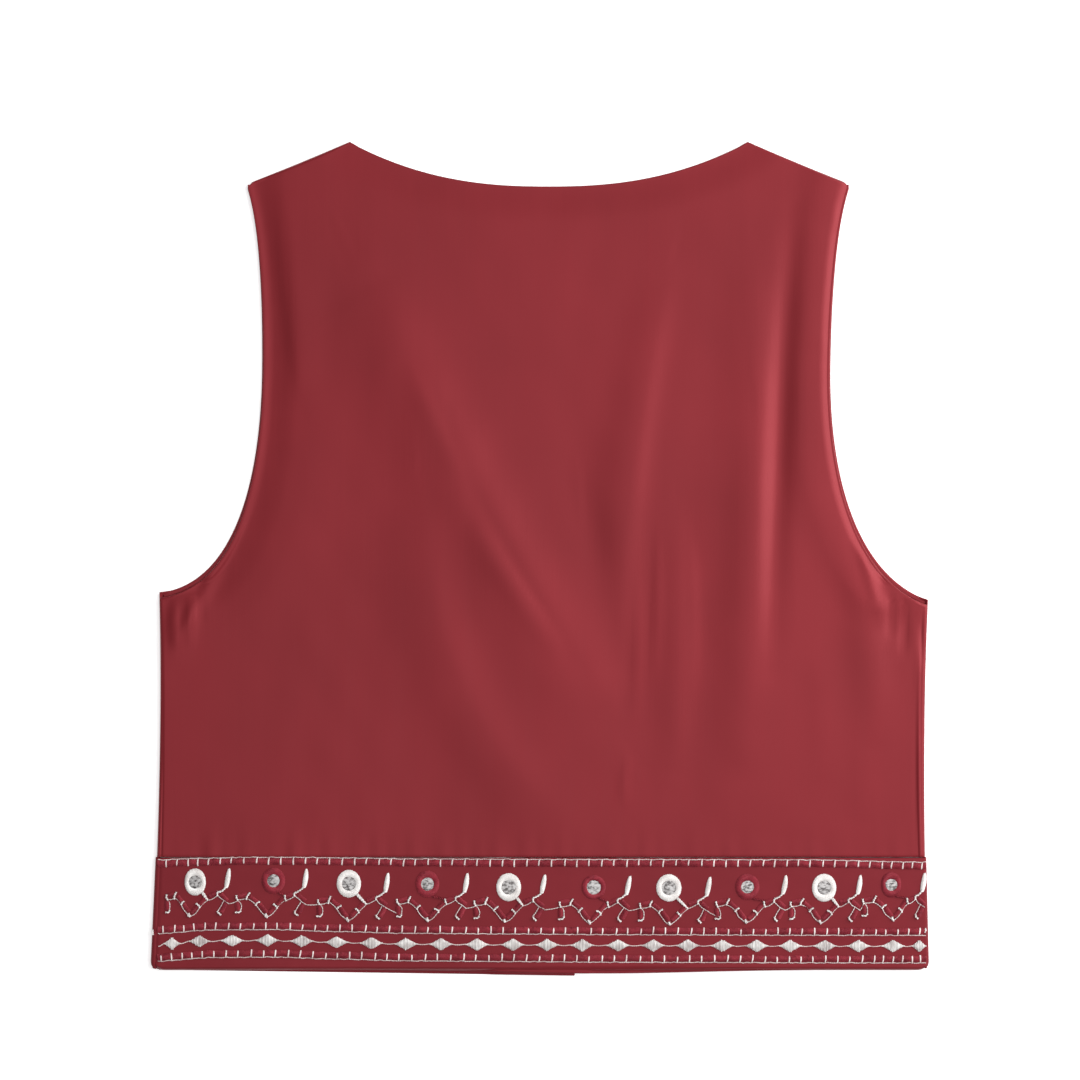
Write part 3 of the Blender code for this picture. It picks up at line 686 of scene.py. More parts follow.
def withRoundCorners(grid, corners):
    # draws the grid in a little at some of its corners, each given as a row and a column
    flat = grid[..., :2].copy()
    middle = (flat.max(axis=(0, 1)) + flat.min(axis=(0, 1))) / 2
    for row, column in corners:
        end = flat[row, : flat.shape[1] // 2] if column == 0 else flat[row, flat.shape[1] // 2 :]
        corner = end[np.abs(end[:, 0] - middle[0]).argmax()]
        inward = np.sign(middle - corner) / 2**0.5
        near = 1 - smooth(np.linalg.norm(flat - corner, axis=2) / cloth["roundReach"])
        grid[..., :2] += near[..., None] ** 2 * inward * cloth["roundIn"]
    return grid


def clothPiece(name, edges, height, onTop, cells, close, rounded, added=nothing, roll=nothing, dip=0):
    # edges are the left, right and top ones, the last None where it is straight and free, and the
    # bottom is straight but for its dip. onTop is 1 for the upper layer and -1 for the lower one, and
    # close says whether rows and columns stand closer at the left, right, bottom and top.
    left, right, top = edges
    top = top or freeEdge(straightLine(left.line[-1], right.line[-1], cells[0]))
    bottom = straightLine(left.line[0], right.line[0], cells[0])
    bottom[:, 1] -= dip * bell(bottom[:, 0] - cut["hemDipX"], cut["hemDipWidth"])
    width = abs(bottom[-1, 0] - bottom[0, 0])
    tall = np.linalg.norm(left.line[-1] - left.line[0])
    across = gridShares(cells[0], width, close[0], close[1])
    up = gridShares(cells[1], tall, close[2], close[3])
    left, right, top = sampled(left, up), sampled(right, up), sampled(top, across)
    bottomLine = atShares(bottom, across)
    hem, sides, topInset = halfThick, (edgeInset(left), edgeInset(right)), edgeInset(top)
    turns = ((left.line, 1), (right.line, -1), (top.line, 1), (bottomLine, -1))
    ways = [outwardOf(line, turn) for line, turn in turns]
    inLeft = insetsOf(left.line, 1, sides[0], left.corners, (ways[3][0], hem), (ways[2][0], topInset))
    inRight = insetsOf(right.line, -1, sides[1], right.corners, (ways[3][-1], hem), (ways[2][-1], topInset))
    inTop = insetsOf(top.line, 1, topInset, top.corners, (ways[0][-1], sides[0]), (ways[1][-1], sides[1]))
    inBottom = insetsOf(bottomLine, -1, hem, (), (ways[0][0], sides[0]), (ways[1][0], sides[1]))
    leftLine, rightLine = left.line - inLeft, right.line - inRight
    topLine, bottomLine = top.line - inTop, bottomLine - inBottom

    u = (runAlong(bottomLine) / runAlong(bottomLine)[-1])[None, :, None]
    v = up[:, None, None]
    level = (1 - u) * leftLine[:, None] + u * rightLine[:, None]
    for share, line in ((1 - v, bottomLine), (v, topLine)):
        level = level + share * (line - (1 - u[0]) * line[0] - u[0] * line[-1])[None]
    x, y = level[..., 0], level[..., 1]
    grid = np.concatenate([level, (height(x, y) + added(x, y))[..., None]], axis=2)

    atLeft = turnedStrip(grid[:, 0], inLeft, left, onTop)
    atRight = turnedStrip(grid[:, -1], inRight, right, onTop)[::-1]
    grid = np.concatenate([atLeft.transpose(1, 0, 2), grid, atRight.transpose(1, 0, 2)], axis=1)
    padding = (len(atLeft), len(atRight))
    topEdge = Edge(None, np.pad(top.turned, padding, mode="edge"), top.start, ())
    upwards = inTop.copy()
    run = runAlong(top.line)
    for end, out in ((0, ways[2][0]), (-1, ways[2][-1])):
        near = 1 - smooth(np.abs(run - run[end]) / cloth["cornerReach"])
        upwards += near[:, None] * (out * topInset - inTop[end])
    upwards = np.pad(upwards, (padding, (0, 0)), mode="edge")
    grid = np.concatenate([grid, turnedStrip(grid[-1], upwards, topEdge, onTop)[::-1]])
    material = materials["bandCloth" if "band" in name else "satin"]
    piece = shellMesh(name, withRoundCorners(grid, rounded), roll(grid[..., 0], grid[..., 1]), material)
    outline = np.concatenate([bottomLine, rightLine, topLine[::-1], leftLine[::-1]])
    return piece, outline


def sideEdge(side, peek):
    line = panelSide(side, peek)
    corner = cloth["sideCells"] * fineness
    beyond = runAlong(line) - runAlong(line)[corner]
    return Edge(line, 1 - smooth(beyond / cloth["cornerTurn"]), halfGap, (corner,))


def freeEdge(line):
    return Edge(line, np.zeros(len(line)), None, ())


def bandEdge(side, start):
    line = bandSide(side)
    return Edge(line, np.ones(len(line)), start, ())


def straightLine(start, end, cells):
    return bezier((start, end), cells * fineness + 1)


# Each row is a mirror, from left to right: its middle, its radius, and the outer size of its ring
MirrorRing = namedtuple("MirrorRing", "x y radius wide tall")
mirrorRings = (
    MirrorRing(-0.2063, 0.0529, 0.0038, 0.0128, 0.0164),
    MirrorRing(-0.1594, 0.0537, 0.0037, 0.0141, 0.0160),
    MirrorRing(-0.1143, 0.0519, 0.0041, 0.0146, 0.0168),
    MirrorRing(-0.0672, 0.0517, 0.0038, 0.0142, 0.0165),
    MirrorRing(-0.0186, 0.0498, 0.0042, 0.0149, 0.0170),
    MirrorRing(0.0324, 0.0498, 0.0041, 0.0145, 0.0146),
    MirrorRing(0.0773, 0.0494, 0.0042, 0.0152, 0.0165),
    MirrorRing(0.1244, 0.0500, 0.0037, 0.0146, 0.0158),
    MirrorRing(0.1703, 0.0495, 0.0041, 0.0146, 0.0169),
    MirrorRing(0.2105, 0.0513, 0.0034, 0.0120, 0.0155),
)
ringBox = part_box("ring_1")
vestOrigin = np.array([
    (ringBox[0][0] + ringBox[1][0]) / 2 - mirrorRings[0].x,
    (ringBox[0][1] + ringBox[1][1]) / 2 - mirrorRings[0].y,
    0.0,
])


def makeBack():
    shoulder, neckCells = cloth["shoulderCells"] * fineness, cloth["neckCells"] * fineness
    line = np.concatenate([
        shoulderLine(-1, shoulder),
        neckline(neckCells)[1:-1],
        shoulderLine(1, shoulder)[::-1],
    ])
    run = runAlong(line)
    fromNeck = np.minimum(run - run[shoulder], run[-shoulder - 1] - run)
    turned = 1 - smooth(fromNeck / cloth["cornerTurn"])
    top = Edge(line, turned, halfGap, (shoulder, len(line) - shoulder - 1))
    return clothPiece("back_cloth", (sideEdge(-1, 0), sideEdge(1, 0), top), backHeight, 1,
                      (backColumns, panelRows), (True, True, True, True), ((-1, 0), (-1, -1)),
                      backFinish, backRoll)


def makeFront(side, name, height):
    shoulder = shoulderLine(side, cloth["frontCells"] * fineness)[::-side]
    top = Edge(shoulder, np.ones(len(shoulder)), halfGap, ())
    sides = (sideEdge(side, cut["frontPeek"]), freeEdge(frontEdge(side)))[::-side]
    return clothPiece(name, (*sides, top), height, -1, (cloth["frontCells"], panelRows),
                      (side < 0, side > 0, False, False), ((-1, 0 if side < 0 else -1),),
                      roll=frontRoll(side))


def makeBackBand():
    left, right = (bandEdge(side, cut["bandCarry"][side] + halfGap) for side in (-1, 1))
    return clothPiece("back_band_cloth", (left, right, None), backHeight, 1,
                      (backColumns, cloth["bandCells"]), (False, False, True, True), ((0, 0), (0, -1)),
                      bandFinish, dip=cut["hemDip"])


def makeFrontBand(side, name, height, hemShift):
    start = (-side * cut["frontEdge"], hemShift)
    end = (-side * cut["frontEdge"], cut["bandTop"] - halfGap)
    inner = freeEdge(leaned(straightLine(start, end, cloth["bandCells"])))
    sides = (bandEdge(side, halfGap - cut["bandCarry"][side]), inner)[::-side]
    return clothPiece(name, (*sides, None), height, -1, (cloth["frontCells"], cloth["bandCells"]),
                      (False, False, True, False), ((0, 0 if side < 0 else -1),))


def flatCut(outline):
    nextPoint = np.roll(outline, -1, axis=0)
    area = abs((outline[:, 0] * nextPoint[:, 1] - nextPoint[:, 0] * outline[:, 1]).sum()) / 2
    size = outline.max(axis=0) - outline.min(axis=0) + 2 * quarterTurn
    return (round(float(size[0]), 4), round(float(size[1]), 4)), round(float(area), 5)


# Each row is a finished piece with its outline, the node that it replaces, its slot and what it rests on
clothPieces, cuts, restsOn = {}, {}, {}
for (piece, outline), node, slot, below in (
    (makeBack(), "back_panel", "satin", ["left_front_cloth", "right_front_cloth"]),
    (makeFront(-1, "left_front_cloth", leftFrontHeight), "left_front_panel", "satin", ["right_front_cloth"]),
    (makeFront(1, "right_front_cloth", rightFrontHeight), "right_front_panel", "satin", []),
    (makeBackBand(), "back_band", "band_cloth", ["left_band_cloth", "right_band_cloth"]),
    (makeFrontBand(-1, "left_band_cloth", leftFrontHeight, -cut["leftHemDrop"]),
     "left_front_band", "band_cloth", ["right_band_cloth"]),
    (makeFrontBand(1, "right_band_cloth", rightFrontHeight, cut["rightHemRise"]),
     "right_front_band", "band_cloth", []),
):
    clothPieces[piece.name], cuts[piece.name], restsOn[piece.name] = piece, flatCut(outline), below
    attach(piece, "root")
    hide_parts(node)
    print(piece.name, "cut", cuts[piece.name], "triangles", 2 * len(piece.data.polygons))
print("cloth made")


# Embroidery: trees that lay thread on the cloth along a path

def geometryTree(name, *sizes):
    nodeTree = bpy.data.node_groups.new(name, "GeometryNodeTree")
    sockets = [("Geometry", "Geometry"), ("Cloth", "Object"), ("Seed", "Int"), ("Finish", "Material")]
    for socketName, kind in sockets + [(size, "Float") for size in sizes]:
        nodeTree.interface.new_socket(socketName, in_out="INPUT", socket_type="NodeSocket" + kind)
    nodeTree.interface.new_socket("Geometry", in_out="OUTPUT", socket_type="NodeSocketGeometry")
    tree = Tree(nodeTree)
    tree.inputNode = nodeTree.nodes.new("NodeGroupInput")
    tree.outputNode = nodeTree.nodes.new("NodeGroupOutput")
    tree.sizes = [given(tree, size) for size in sizes]
    return tree


def given(tree, name):
    return Value(tree, tree.inputNode.outputs[name])


def named(tree, name):
    return tree.add("GeometryNodeInputNamedAttribute", {"data_type": "FLOAT"}, {"Name": name})


def onCloth(tree, geometry, rise):
    # moves each point on to the cloth below it, and up by rise
    place = tree.geometry("InputPosition")
    x, y = tree.part(place, "X"), tree.part(place, "Y")
    target = tree.geometry("ObjectInfo", "Geometry", object=given(tree, "Cloth"))
    hit = tree.geometry("Raycast", "Hit Position", targetGeometry=target, rayDirection=(0, 0, -1),
                        sourcePosition=tree.combine(x, y, 0.05), rayLength=0.1)
    laid = tree.combine(x, y, tree.part(hit, "Z") + rise)
    return tree.geometry("SetPosition", geometry=geometry, position=laid)


def finishTree(tree, shapes):
    joined = tree.geometry("JoinGeometry", geometry=shapes)
    shaded = tree.geometry("SetShadeSmooth", geometry=joined)
    real = tree.geometry("RealizeInstances", geometry=shaded)
    done = tree.geometry("SetMaterial", geometry=real, material=given(tree, "Finish"))
    tree.fill(tree.outputNode.inputs[0], done)
    return tree.nodeTree


def directions(tree, slant):
    tangent = tree.geometry("InputTangent")
    left = tree.vector("CROSS_PRODUCT", (0, 0, 1), tangent)
    leaning = tree.add("ShaderNodeVectorMath", {"operation": "SCALE"}, {0: left, "Scale": slant})
    forward = tree.vector("ADD", tangent, leaning)
    return tree.add("FunctionNodeAxesToRotation", {"primary_axis": "Z", "secondary_axis": "X"},
                    {0: (0, 0, 1), 1: forward})


def randomAround(tree, reach, seedShift):
    return tree.add("FunctionNodeRandomValue", {"data_type": "FLOAT"},
                    {2: reach * -1, 3: reach, "Seed": given(tree, "Seed") + seedShift}, 1)


def evenStops(tree, line, length):
    return tree.geometry("ResampleCurve", mode="LENGTH", curve=line, length=length)


def tube(tree, line, radius, sides):
    circle = tree.geometry("CurvePrimitiveCircle", resolution=sides, radius=radius)
    return tree.geometry("CurveToMesh", curve=line, profileCurve=circle, fillCaps=True)


def satinStitchTree():
    # threads side by side across a path, over a padded body; the path's points say how wide and how high
    tree = geometryTree("satin stitch", "Spacing", "Thread", "Inner Rise", "Roundness", "Slant", "Unevenness")
    spacing, thread, innerRise, roundness, slant, unevenness = tree.sizes
    path = tree.geometry("MeshToCurve", mesh=given(tree, "Geometry"))
    line = tree.geometry("CurvePrimitiveLine", start=(0, -0.5, 0), end=(0, 0.5, 0))
    strand = tree.geometry("ResampleCurve", mode="COUNT", curve=line, count=5)
    reach = named(tree, "wide") * (randomAround(tree, unevenness, 0) + 1)
    threads = tree.geometry("InstanceOnPoints", points=evenStops(tree, path, spacing), instance=strand,
                            rotation=directions(tree, slant), scale=tree.combine(1, reach, 1))
    threads = tree.geometry("RealizeInstances", geometry=threads)
    share = tree.geometry("SplineParameter")
    dome = (1 - (share * 2 - 1) ** 2).node("MAXIMUM", 0) ** roundness
    rise = dome * named(tree, "lift") + share * share * innerRise + thread * 0.45
    threads = tube(tree, onCloth(tree, threads, rise), thread, 5)

    spread = named(tree, "wide") * 0.90
    body = tree.geometry("CurvePrimitiveCircle", resolution=10, radius=0.5)
    body = tree.geometry("CurveToMesh", curve=evenStops(tree, path, spacing * 2), profileCurve=body,
                         scale=spread, fillCaps=True)
    height = tree.part(tree.geometry("InputPosition"), "Z") / (spread * 0.5)
    above = height.node("MAXIMUM", 0) * named(tree, "lift") * 0.9
    body = onCloth(tree, body, above + height.node("MINIMUM", 0) * 0.0001)
    return finishTree(tree, [threads, body])


def strandTree():
    # a two-ply thread that lies along a path
    tree = geometryTree("laid thread", "Step", "Thread", "Twist")
    step, thread, twist = tree.sizes
    path = evenStops(tree, tree.geometry("MeshToCurve", mesh=given(tree, "Geometry")), step)
    laid = onCloth(tree, path, named(tree, "lift") + thread * 0.6)
    laid = tree.geometry("SetCurveNormal", mode="Z_UP", curve=laid)
    run = tree.geometry("SplineParameter", "Length")
    laid = tree.geometry("SetCurveTilt", curve=laid, tilt=run / twist * (2 * pi))
    ply = thread * 0.58
    circle = tree.geometry("CurvePrimitiveCircle", resolution=5, radius=ply)
    plies = [tree.geometry("Transform", geometry=circle, translation=tree.combine(ply * side * 0.8, 0, 0))
             for side in (-1, 1)]
    profile = tree.geometry("JoinGeometry", geometry=plies)
    return finishTree(tree, [tree.geometry("CurveToMesh", curve=laid, profileCurve=profile, fillCaps=True)])


def toothTree():
    # the teeth of a blanket stitch, each of three strands, at one side of a path
    tree = geometryTree("blanket stitch teeth", "Length", "Width", "Hook", "Thread", "Lift", "Unevenness")
    length, width, hook, thread, lift, unevenness = tree.sizes
    stops = tree.geometry("MeshToCurve", mesh=given(tree, "Geometry"))
    strands = []
    for side in (-1, 0, 1):
        across = width * (side / 3)
        middle = tree.combine(across * 1.2, length * (0.16 + side * 0.04), 0)
        strands.append(tree.geometry("CurveQuadraticBezier", resolution=8, middle=middle,
                                     start=tree.combine(hook, across * 0.5, 0),
                                     end=tree.combine(across * 0.8, length, 0)))
    tooth = tree.geometry("JoinGeometry", geometry=strands)
    tooth = tree.geometry("ResampleCurve", mode="COUNT", curve=tooth, count=8)
    size = tree.combine(1, randomAround(tree, unevenness, 2) + 1, 1)
    teeth = tree.geometry("InstanceOnPoints", points=stops, instance=tooth, scale=size,
                          rotation=directions(tree, randomAround(tree, 0.08, 1)))
    teeth = tree.geometry("RealizeInstances", geometry=teeth)
    share = tree.geometry("SplineParameter")
    dome = (1 - (share * 2 - 1) ** 2) ** 0.5
    teeth = onCloth(tree, teeth, dome * lift + thread * 0.7)
    return finishTree(tree, [tube(tree, teeth, thread, 6)])


Path = namedtuple("Path", "points wide lift closed")


def path(points, wide=0.001, lift=0.0, closed=False):
    points = np.array(points, float)
    return Path(points, np.broadcast_to(wide, len(points)), np.broadcast_to(lift, len(points)), closed)


def sewn(name, nodeTree, paths, threadName, values, seed=0):
    # runs a tree on a set of paths and keeps the plain mesh that it makes
    vertices, edges, wide, lift = [], [], [], []
    for one in paths:
        first = len(vertices)
        vertices += [(x + vestOrigin[0], y + vestOrigin[1], 0) for x, y in one.points]
        edges += [(first + step, first + step + 1) for step in range(len(one.points) - 1)]
        edges += [(len(vertices) - 1, first)] if one.closed else []
        wide += list(one.wide)
        lift += list(one.lift)
    mesh = bpy.data.meshes.new(name)
    mesh.from_pydata(vertices, edges, [])
    for attributeName, numbers in (("wide", wide), ("lift", lift)):
        mesh.attributes.new(attributeName, "FLOAT", "POINT").data.foreach_set("value", numbers)
    guide = placed(name + "_guide", mesh)
    modifier = guide.modifiers.new("sewing", "NODES")
    modifier.node_group = nodeTree
    sockets = [item for item in nodeTree.interface.items_tree if item.in_out == "INPUT"]
    identifiers = {item.name: item.identifier for item in sockets}
    inputs = {"cloth": sewnOn, "seed": seed, "finish": materials[threadName], **values}
    for inputName, value in inputs.items():
        modifier[identifiers[spaced(inputName)]] = value
    evaluated = guide.evaluated_get(bpy.context.evaluated_depsgraph_get())
    result = bpy.data.meshes.new_from_object(evaluated)
    for attributeName in ("wide", "lift"):
        if attributeName in result.attributes:
            result.attributes.remove(result.attributes[attributeName])
    result.name = name
    bpy.data.objects.remove(guide)
    piece = placed(name, result)
    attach(piece, "root")
    "red_thread" if threadName == "redThread" else "ivory_thread"
    print(name, "triangles", sum(len(face.vertices) - 2 for face in result.polygons))
    return piece


satinStitch = satinStitchTree()
laidThread = strandTree()
blanketTeeth = toothTree()


# How far the rows of the embroidery stray up and down along the hem, in pairs of x and rise

waves = {
    "all": ((-0.231, 0.0006), (-0.195, 0.0028), (-0.160, 0.0030), (-0.122, 0.0018), (-0.080, 0.0008),
            (-0.015, 0.0004), (0.040, 0.0), (0.150, -0.0004), (0.231, -0.0004)),
    "top": ((-0.231, -0.0003), (-0.205, 0.0006), (-0.175, 0.0013), (-0.150, 0.0013), (-0.117, 0.0009),
            (-0.076, 0.0003), (0.030, 0.0), (0.156, -0.0002), (0.231, -0.0016)),
}


def strayAt(name, x):
    places, rises = (np.array(column) for column in zip(*waves[name]))
    x = np.asarray(x, float)
    index = np.clip(np.searchsorted(places, x) - 1, 0, len(places) - 2)
    share = smooth((x - places[index]) / (places[index + 1] - places[index]))
    return rises[index] + (rises[index + 1] - rises[index]) * share


# Three rows of blanket stitch, each over a padded red bar

rows = {
    "start": -0.2286, "end": 0.2312, "thread": dict(step=0.0005, thread=0.00036, twist=0.0022),
    "tooth": 0.0041, "hook": 0.0005, "toothStray": 0.0004,
    "teeth": dict(width=0.0007, thread=0.00023, lift=0.0008, unevenness=0.10),
    "barWide": 0.0036, "barLift": 0.00095, "barGap": 0.00055, "barDip": 0.45, "barSeed": 40,
    "barStitch": dict(spacing=0.00054, thread=0.00029, roundness=0.5, slant=0.08, unevenness=0.05),
    "wander": ((0.00030, 0.0061, 0), (0.00016, 0.0021, 5)),
    "tapeReach": 0.0012,
    "names": {
        "top": {"y": 0.0664, "stray": "top", "up": -1, "seed": 11, "marks": (
            (0, -0.2237), (5, -0.1918), (21, -0.0745), (27, -0.0301), (48, 0.1263),
            (59, 0.2051), (63, 0.2290))},
        "middle": {"y": 0.0214, "stray": "all", "up": 1, "seed": 12, "marks": (
            (0, -0.2250), (5, -0.1939), (21, -0.0750), (27, -0.0293), (48, 0.1279),
            (58, 0.2009), (62, 0.2275))},
        "bottom": {"y": 0.0049, "stray": "all", "up": 1, "seed": 13, "marks": (
            (0, -0.2266), (5, -0.1952), (21, -0.0766), (27, -0.0303), (48, 0.1274),
            (58, 0.2004), (63, 0.2285))},
    },
}


def seamTape():
    # closes the seam under the top row, so that its thread doesn't fall into the gap
    x = np.linspace(rows["start"], rows["end"], 240)
    lines = []
    for shift in (-rows["tapeReach"], rows["tapeReach"]):
        y = np.full(len(x), cut["bandTop"] + shift)
        lines.append(np.stack([x, y, backHeight(x, y) + halfThick - finish["seamDip"] / 2], axis=1))
    count = len(x)
    faces = [(i, i + 1, count + i + 1, count + i) for i in range(count - 1)]
    return addMesh("seam_tape", np.concatenate(lines) + vestOrigin, faces, materials["bandCloth"])


def sewingGround():
    # one mesh of the cloth under the embroidery, for the thread to lie on
    tape = seamTape()
    under = ("back_cloth", "back_band_cloth", "left_band_cloth", "right_band_cloth")
    shape = bmesh.new()
    for piece in [clothPieces[name] for name in under] + [tape]:
        shape.from_mesh(piece.data)
    mesh = bpy.data.meshes.new("band_guide")
    shape.to_mesh(mesh)
    shape.free()
    bpy.data.objects.remove(tape)
    return placed("band_guide", mesh)


sewnOn = sewingGround()


def markedPlaces(marks):
    # one place for each whole number, evenly between the marked ones
    counts, places = zip(*marks)
    return np.interp(np.arange(counts[-1] + 1), counts, places)


def rowLine(row, offset=0.0, x=None):
    if x is None:
        x = np.linspace(rows["start"], rows["end"], 400)
    y = row["y"] + strayAt(row["stray"], x)
    for reach, step, seedShift in rows["wander"]:
        y = y + reach * gathersAlong(x, step, row["seed"] + seedShift)
    return np.stack([x, y + row["up"] * offset], axis=1)


def makeRows():
    lines = [path(rowLine(row)) for row in rows["names"].values()]
    pieces = [sewn("blanket_thread", laidThread, lines, "pinkThread", rows["thread"])]
    for name, row in rows["names"].items():
        numbers = np.random.default_rng(row["seed"])
        stops = markedPlaces(row["marks"])
        stops = stops + numbers.uniform(-1, 1, len(stops)) * rows["toothStray"]
        teeth = dict(rows["teeth"], length=row["up"] * rows["tooth"], hook=-row["up"] * rows["hook"])
        foot = path(rowLine(row, x=stops))
        pieces.append(sewn("blanket_teeth_" + name, blanketTeeth, [foot], "toothThread", teeth, row["seed"]))
        line = rowLine(row, rows["barGap"] + rows["barWide"] / 2)
        between = np.interp(line[:, 0], stops, np.arange(len(stops)))
        puff = rows["barDip"] + (1 - rows["barDip"]) * np.abs(np.sin(pi * between))
        bar = path(line, rows["barWide"], rows["barLift"] * puff)
        seed = row["seed"] + rows["barSeed"]
        pieces.append(sewn("red_bar_" + name, satinStitch, [bar], "redThread", rows["barStitch"], seed))
    return pieces


# Mirrors and their satin-stitched rings

ringWork = {
    "lift": 0.00048, "narrower": 0.00042, "seed": 60, "clear": 0.0003,
    "stitch": dict(spacing=0.00046, thread=0.00030, innerRise=0.00015, roundness=0.26, slant=0.06,
                   unevenness=0.06),
    "mirrorThick": 0.0005, "mirrorLift": 0.00015, "slope": 0.00012, "facetJitter": 0.00007, "facets": 7,
}


def makeMirror(number, ring):
    # a thin disc of glass, a little uneven, with one ring of facets inside another
    numbers = np.random.default_rng(100 + number)
    radius = ring.radius + ringWork["clear"] / 2
    facets, jitter = ringWork["facets"], ringWork["facetJitter"]
    sides, first = 2 * facets, facets + 1
    base = float(backHeight([ring.x], [ring.y])[0]) + halfThick + ringWork["mirrorLift"]
    top = base + ringWork["mirrorThick"]
    vertices = [(ring.x, ring.y, top + numbers.uniform(0, 1) * jitter)]
    for share, count, turn in ((0.5, facets, 0.2), (1.0, sides, 0.0)):
        for step in range(count):
            angle = 2 * pi * (step + turn) / count + numbers.uniform(-0.12, 0.12)
            reach = radius * share * numbers.uniform(0.95, 1.04)
            z = top + numbers.uniform(-1, 1) * jitter - ringWork["slope"] * share
            vertices.append((ring.x + reach * cos(angle), ring.y + reach * sin(angle), z))
    vertices += [(x, y, base) for x, y, _ in vertices[first:]]
    faces = [(0, 1 + step, 1 + (step + 1) % facets) for step in range(facets)]
    for step in range(facets):
        a, b = 1 + step, 1 + (step + 1) % facets
        outer = [first + (2 * step + shift) % sides for shift in range(3)]
        faces += [(a, outer[0], outer[1]), (a, outer[1], b), (b, outer[1], outer[2])]
    for step in range(sides):
        a, b = first + step, first + (step + 1) % sides
        faces.append((a, a + sides, b + sides, b))
    faces.append(tuple(range(first + 2 * sides - 1, first + sides - 1, -1)))
    place = np.array(vertices) + vestOrigin
    piece = addMesh(f"mirror_disc_{number}", place, faces, materials["mirror"], True)
    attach(piece, "root")
    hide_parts(f"mirror_{number}")
    return piece


def makeRing(number, ring):
    angle = np.linspace(0, 2 * pi, 72, endpoint=False)
    wide, tall = ring.wide / 2, ring.tall / 2
    around = ((wide + ring.radius) / 2 * np.cos(angle), (tall + ring.radius) / 2 * np.sin(angle))
    points = np.stack(around, axis=1) + (ring.x, ring.y)
    breadth = np.hypot(wide * np.cos(angle), tall * np.sin(angle)) - ring.radius - ringWork["narrower"]
    piece = sewn(f"mirror_ring_{number}", satinStitch, [path(points, breadth, ringWork["lift"], True)],
                 "ivoryThread" if number % 2 else "redThread", ringWork["stitch"], ringWork["seed"] + number)
    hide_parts(f"ring_{number}")
    return piece


# The vine, charted in millimetres from the point of its V, once for each mirror

vine = {
    "line": (
        ((-17.2, 10.1), (-14.2, 10.4), (-11.5, 11.2)), ((-11.5, 11.2), (-8.6, 9.5), (-6.4, 7.3)),
        ((-6.4, 7.3), (-4.5, 4.2), (-2.4, 1.9), (0.0, 0.0)), ((0.0, 0.0), (3.4, 2.0), (6.3, 5.2)),
        ((6.3, 5.2), (8.2, 7.7), (10.9, 9.9)), ((10.9, 9.9), (13.4, 10.6), (16.9, 12.8)),
        ((16.9, 12.8), (18.7, 10.9), (20.6, 9.6), (23.4, 7.7)),
    ),
    "thin": (
        ((-17.2, 10.1), (-15.7, 8.2), (-15.3, 5.8), (-15.6, 3.5)), ((20.6, 9.6), (18.6, 6.2), (16.8, 3.3)),
    ),
    "thick": (
        ((-15.5, 3.9), (-16.6, 2.8), (-18.8, 2.8)), ((16.7, 3.6), (17.1, 2.5), (18.9, 1.1)),
        ((-17.2, 9.9), (-17.9, 11.4), (-18.2, 13.1)), ((-12.0, 10.6), (-11.5, 12.4), (-10.2, 14.9)),
        ((-6.7, 7.0), (-5.8, 8.4), (-4.0, 9.5)), ((6.4, 5.0), (5.9, 6.4), (4.1, 7.8)),
        ((-1.1, 1.9), (-0.3, 0.6), (0.3, -0.2)), ((-0.5, 2.1), (-0.1, 1.0), (0.5, 0.1)),
        ((16.9, 12.4), (16.5, 13.6), (17.4, 15.0)),
    ),
    "redNode": ((11.8, 9.7), (10.9, 11.0), (10.6, 13.5)),
    "stem": ((17.2, 14.6), (19.4, 15.6), (22.6, 18.4)),
    "leaf": ((22.2, 17.4), (23.3, 22.8), (23.9, 28.3)),
    "bars": (
        ((-16.9, 12.4), (-12.3, 13.2)), ((-9.6, 12.2), (-5.4, 8.4)), ((-4.4, 7.4), (-0.4, 2.4)),
        ((1.5, 2.7), (4.9, 6.1)), ((6.4, 7.4), (9.9, 11.3)), ((11.9, 12.4), (16.2, 13.7)),
        ((19.0, 13.0), (22.9, 9.6)), ((21.6, 7.6), (19.3, 2.8)), ((-17.5, 8.9), (-17.3, 4.2)),
    ),
    "apexShift": (-0.0035, -0.0041, -0.0005, 0.0, -0.0023, -0.0025, 0.0005, -0.0008, -0.0022, 0.0010),
    "apexDrop": (0.0207, 0.0218, 0.0224, 0.0222, 0.0210, 0.0217, 0.0222, 0.0218, 0.0213, 0.0214),
    "unevenness": 0.00028, "runsLow": (3, 7), "narrowBefore": {1: 0.76}, "narrowAfter": {10: 0.80},
    "edgeStitches": (((-0.2318, 0.0243), (-0.2322, 0.0224), (-0.2314, 0.0213)),
                     ((0.2306, 0.0226), (0.2311, 0.0240), (0.2309, 0.0254))),
    "ringStemTurn": -0.85, "ringStemApart": (0.0003, 0.0002), "redStemTurn": -1.1, "redStemUp": (0.0, 0.0036),
    "joinSag": (0, -0.0006), "lowLift": 0.0002, "stemLift": 0.0003, "highLift": 0.0005,
    "thread": dict(step=0.0005, thread=0.00032, twist=0.0032),
    "tick": dict(step=0.0005, thread=0.00062, twist=0.0032),
    "barWide": 0.0027, "barLift": 0.00055,
    "barStitch": dict(spacing=0.00052, thread=0.00028, roundness=0.5, slant=0.1, unevenness=0.05),
    "leafTip": 0.0005, "leafWide": 0.0025, "leafLift": 0.0007,
    "leafStitch": dict(spacing=0.00056, thread=0.00032, roundness=0.35, slant=0.5, unevenness=0.04),
}


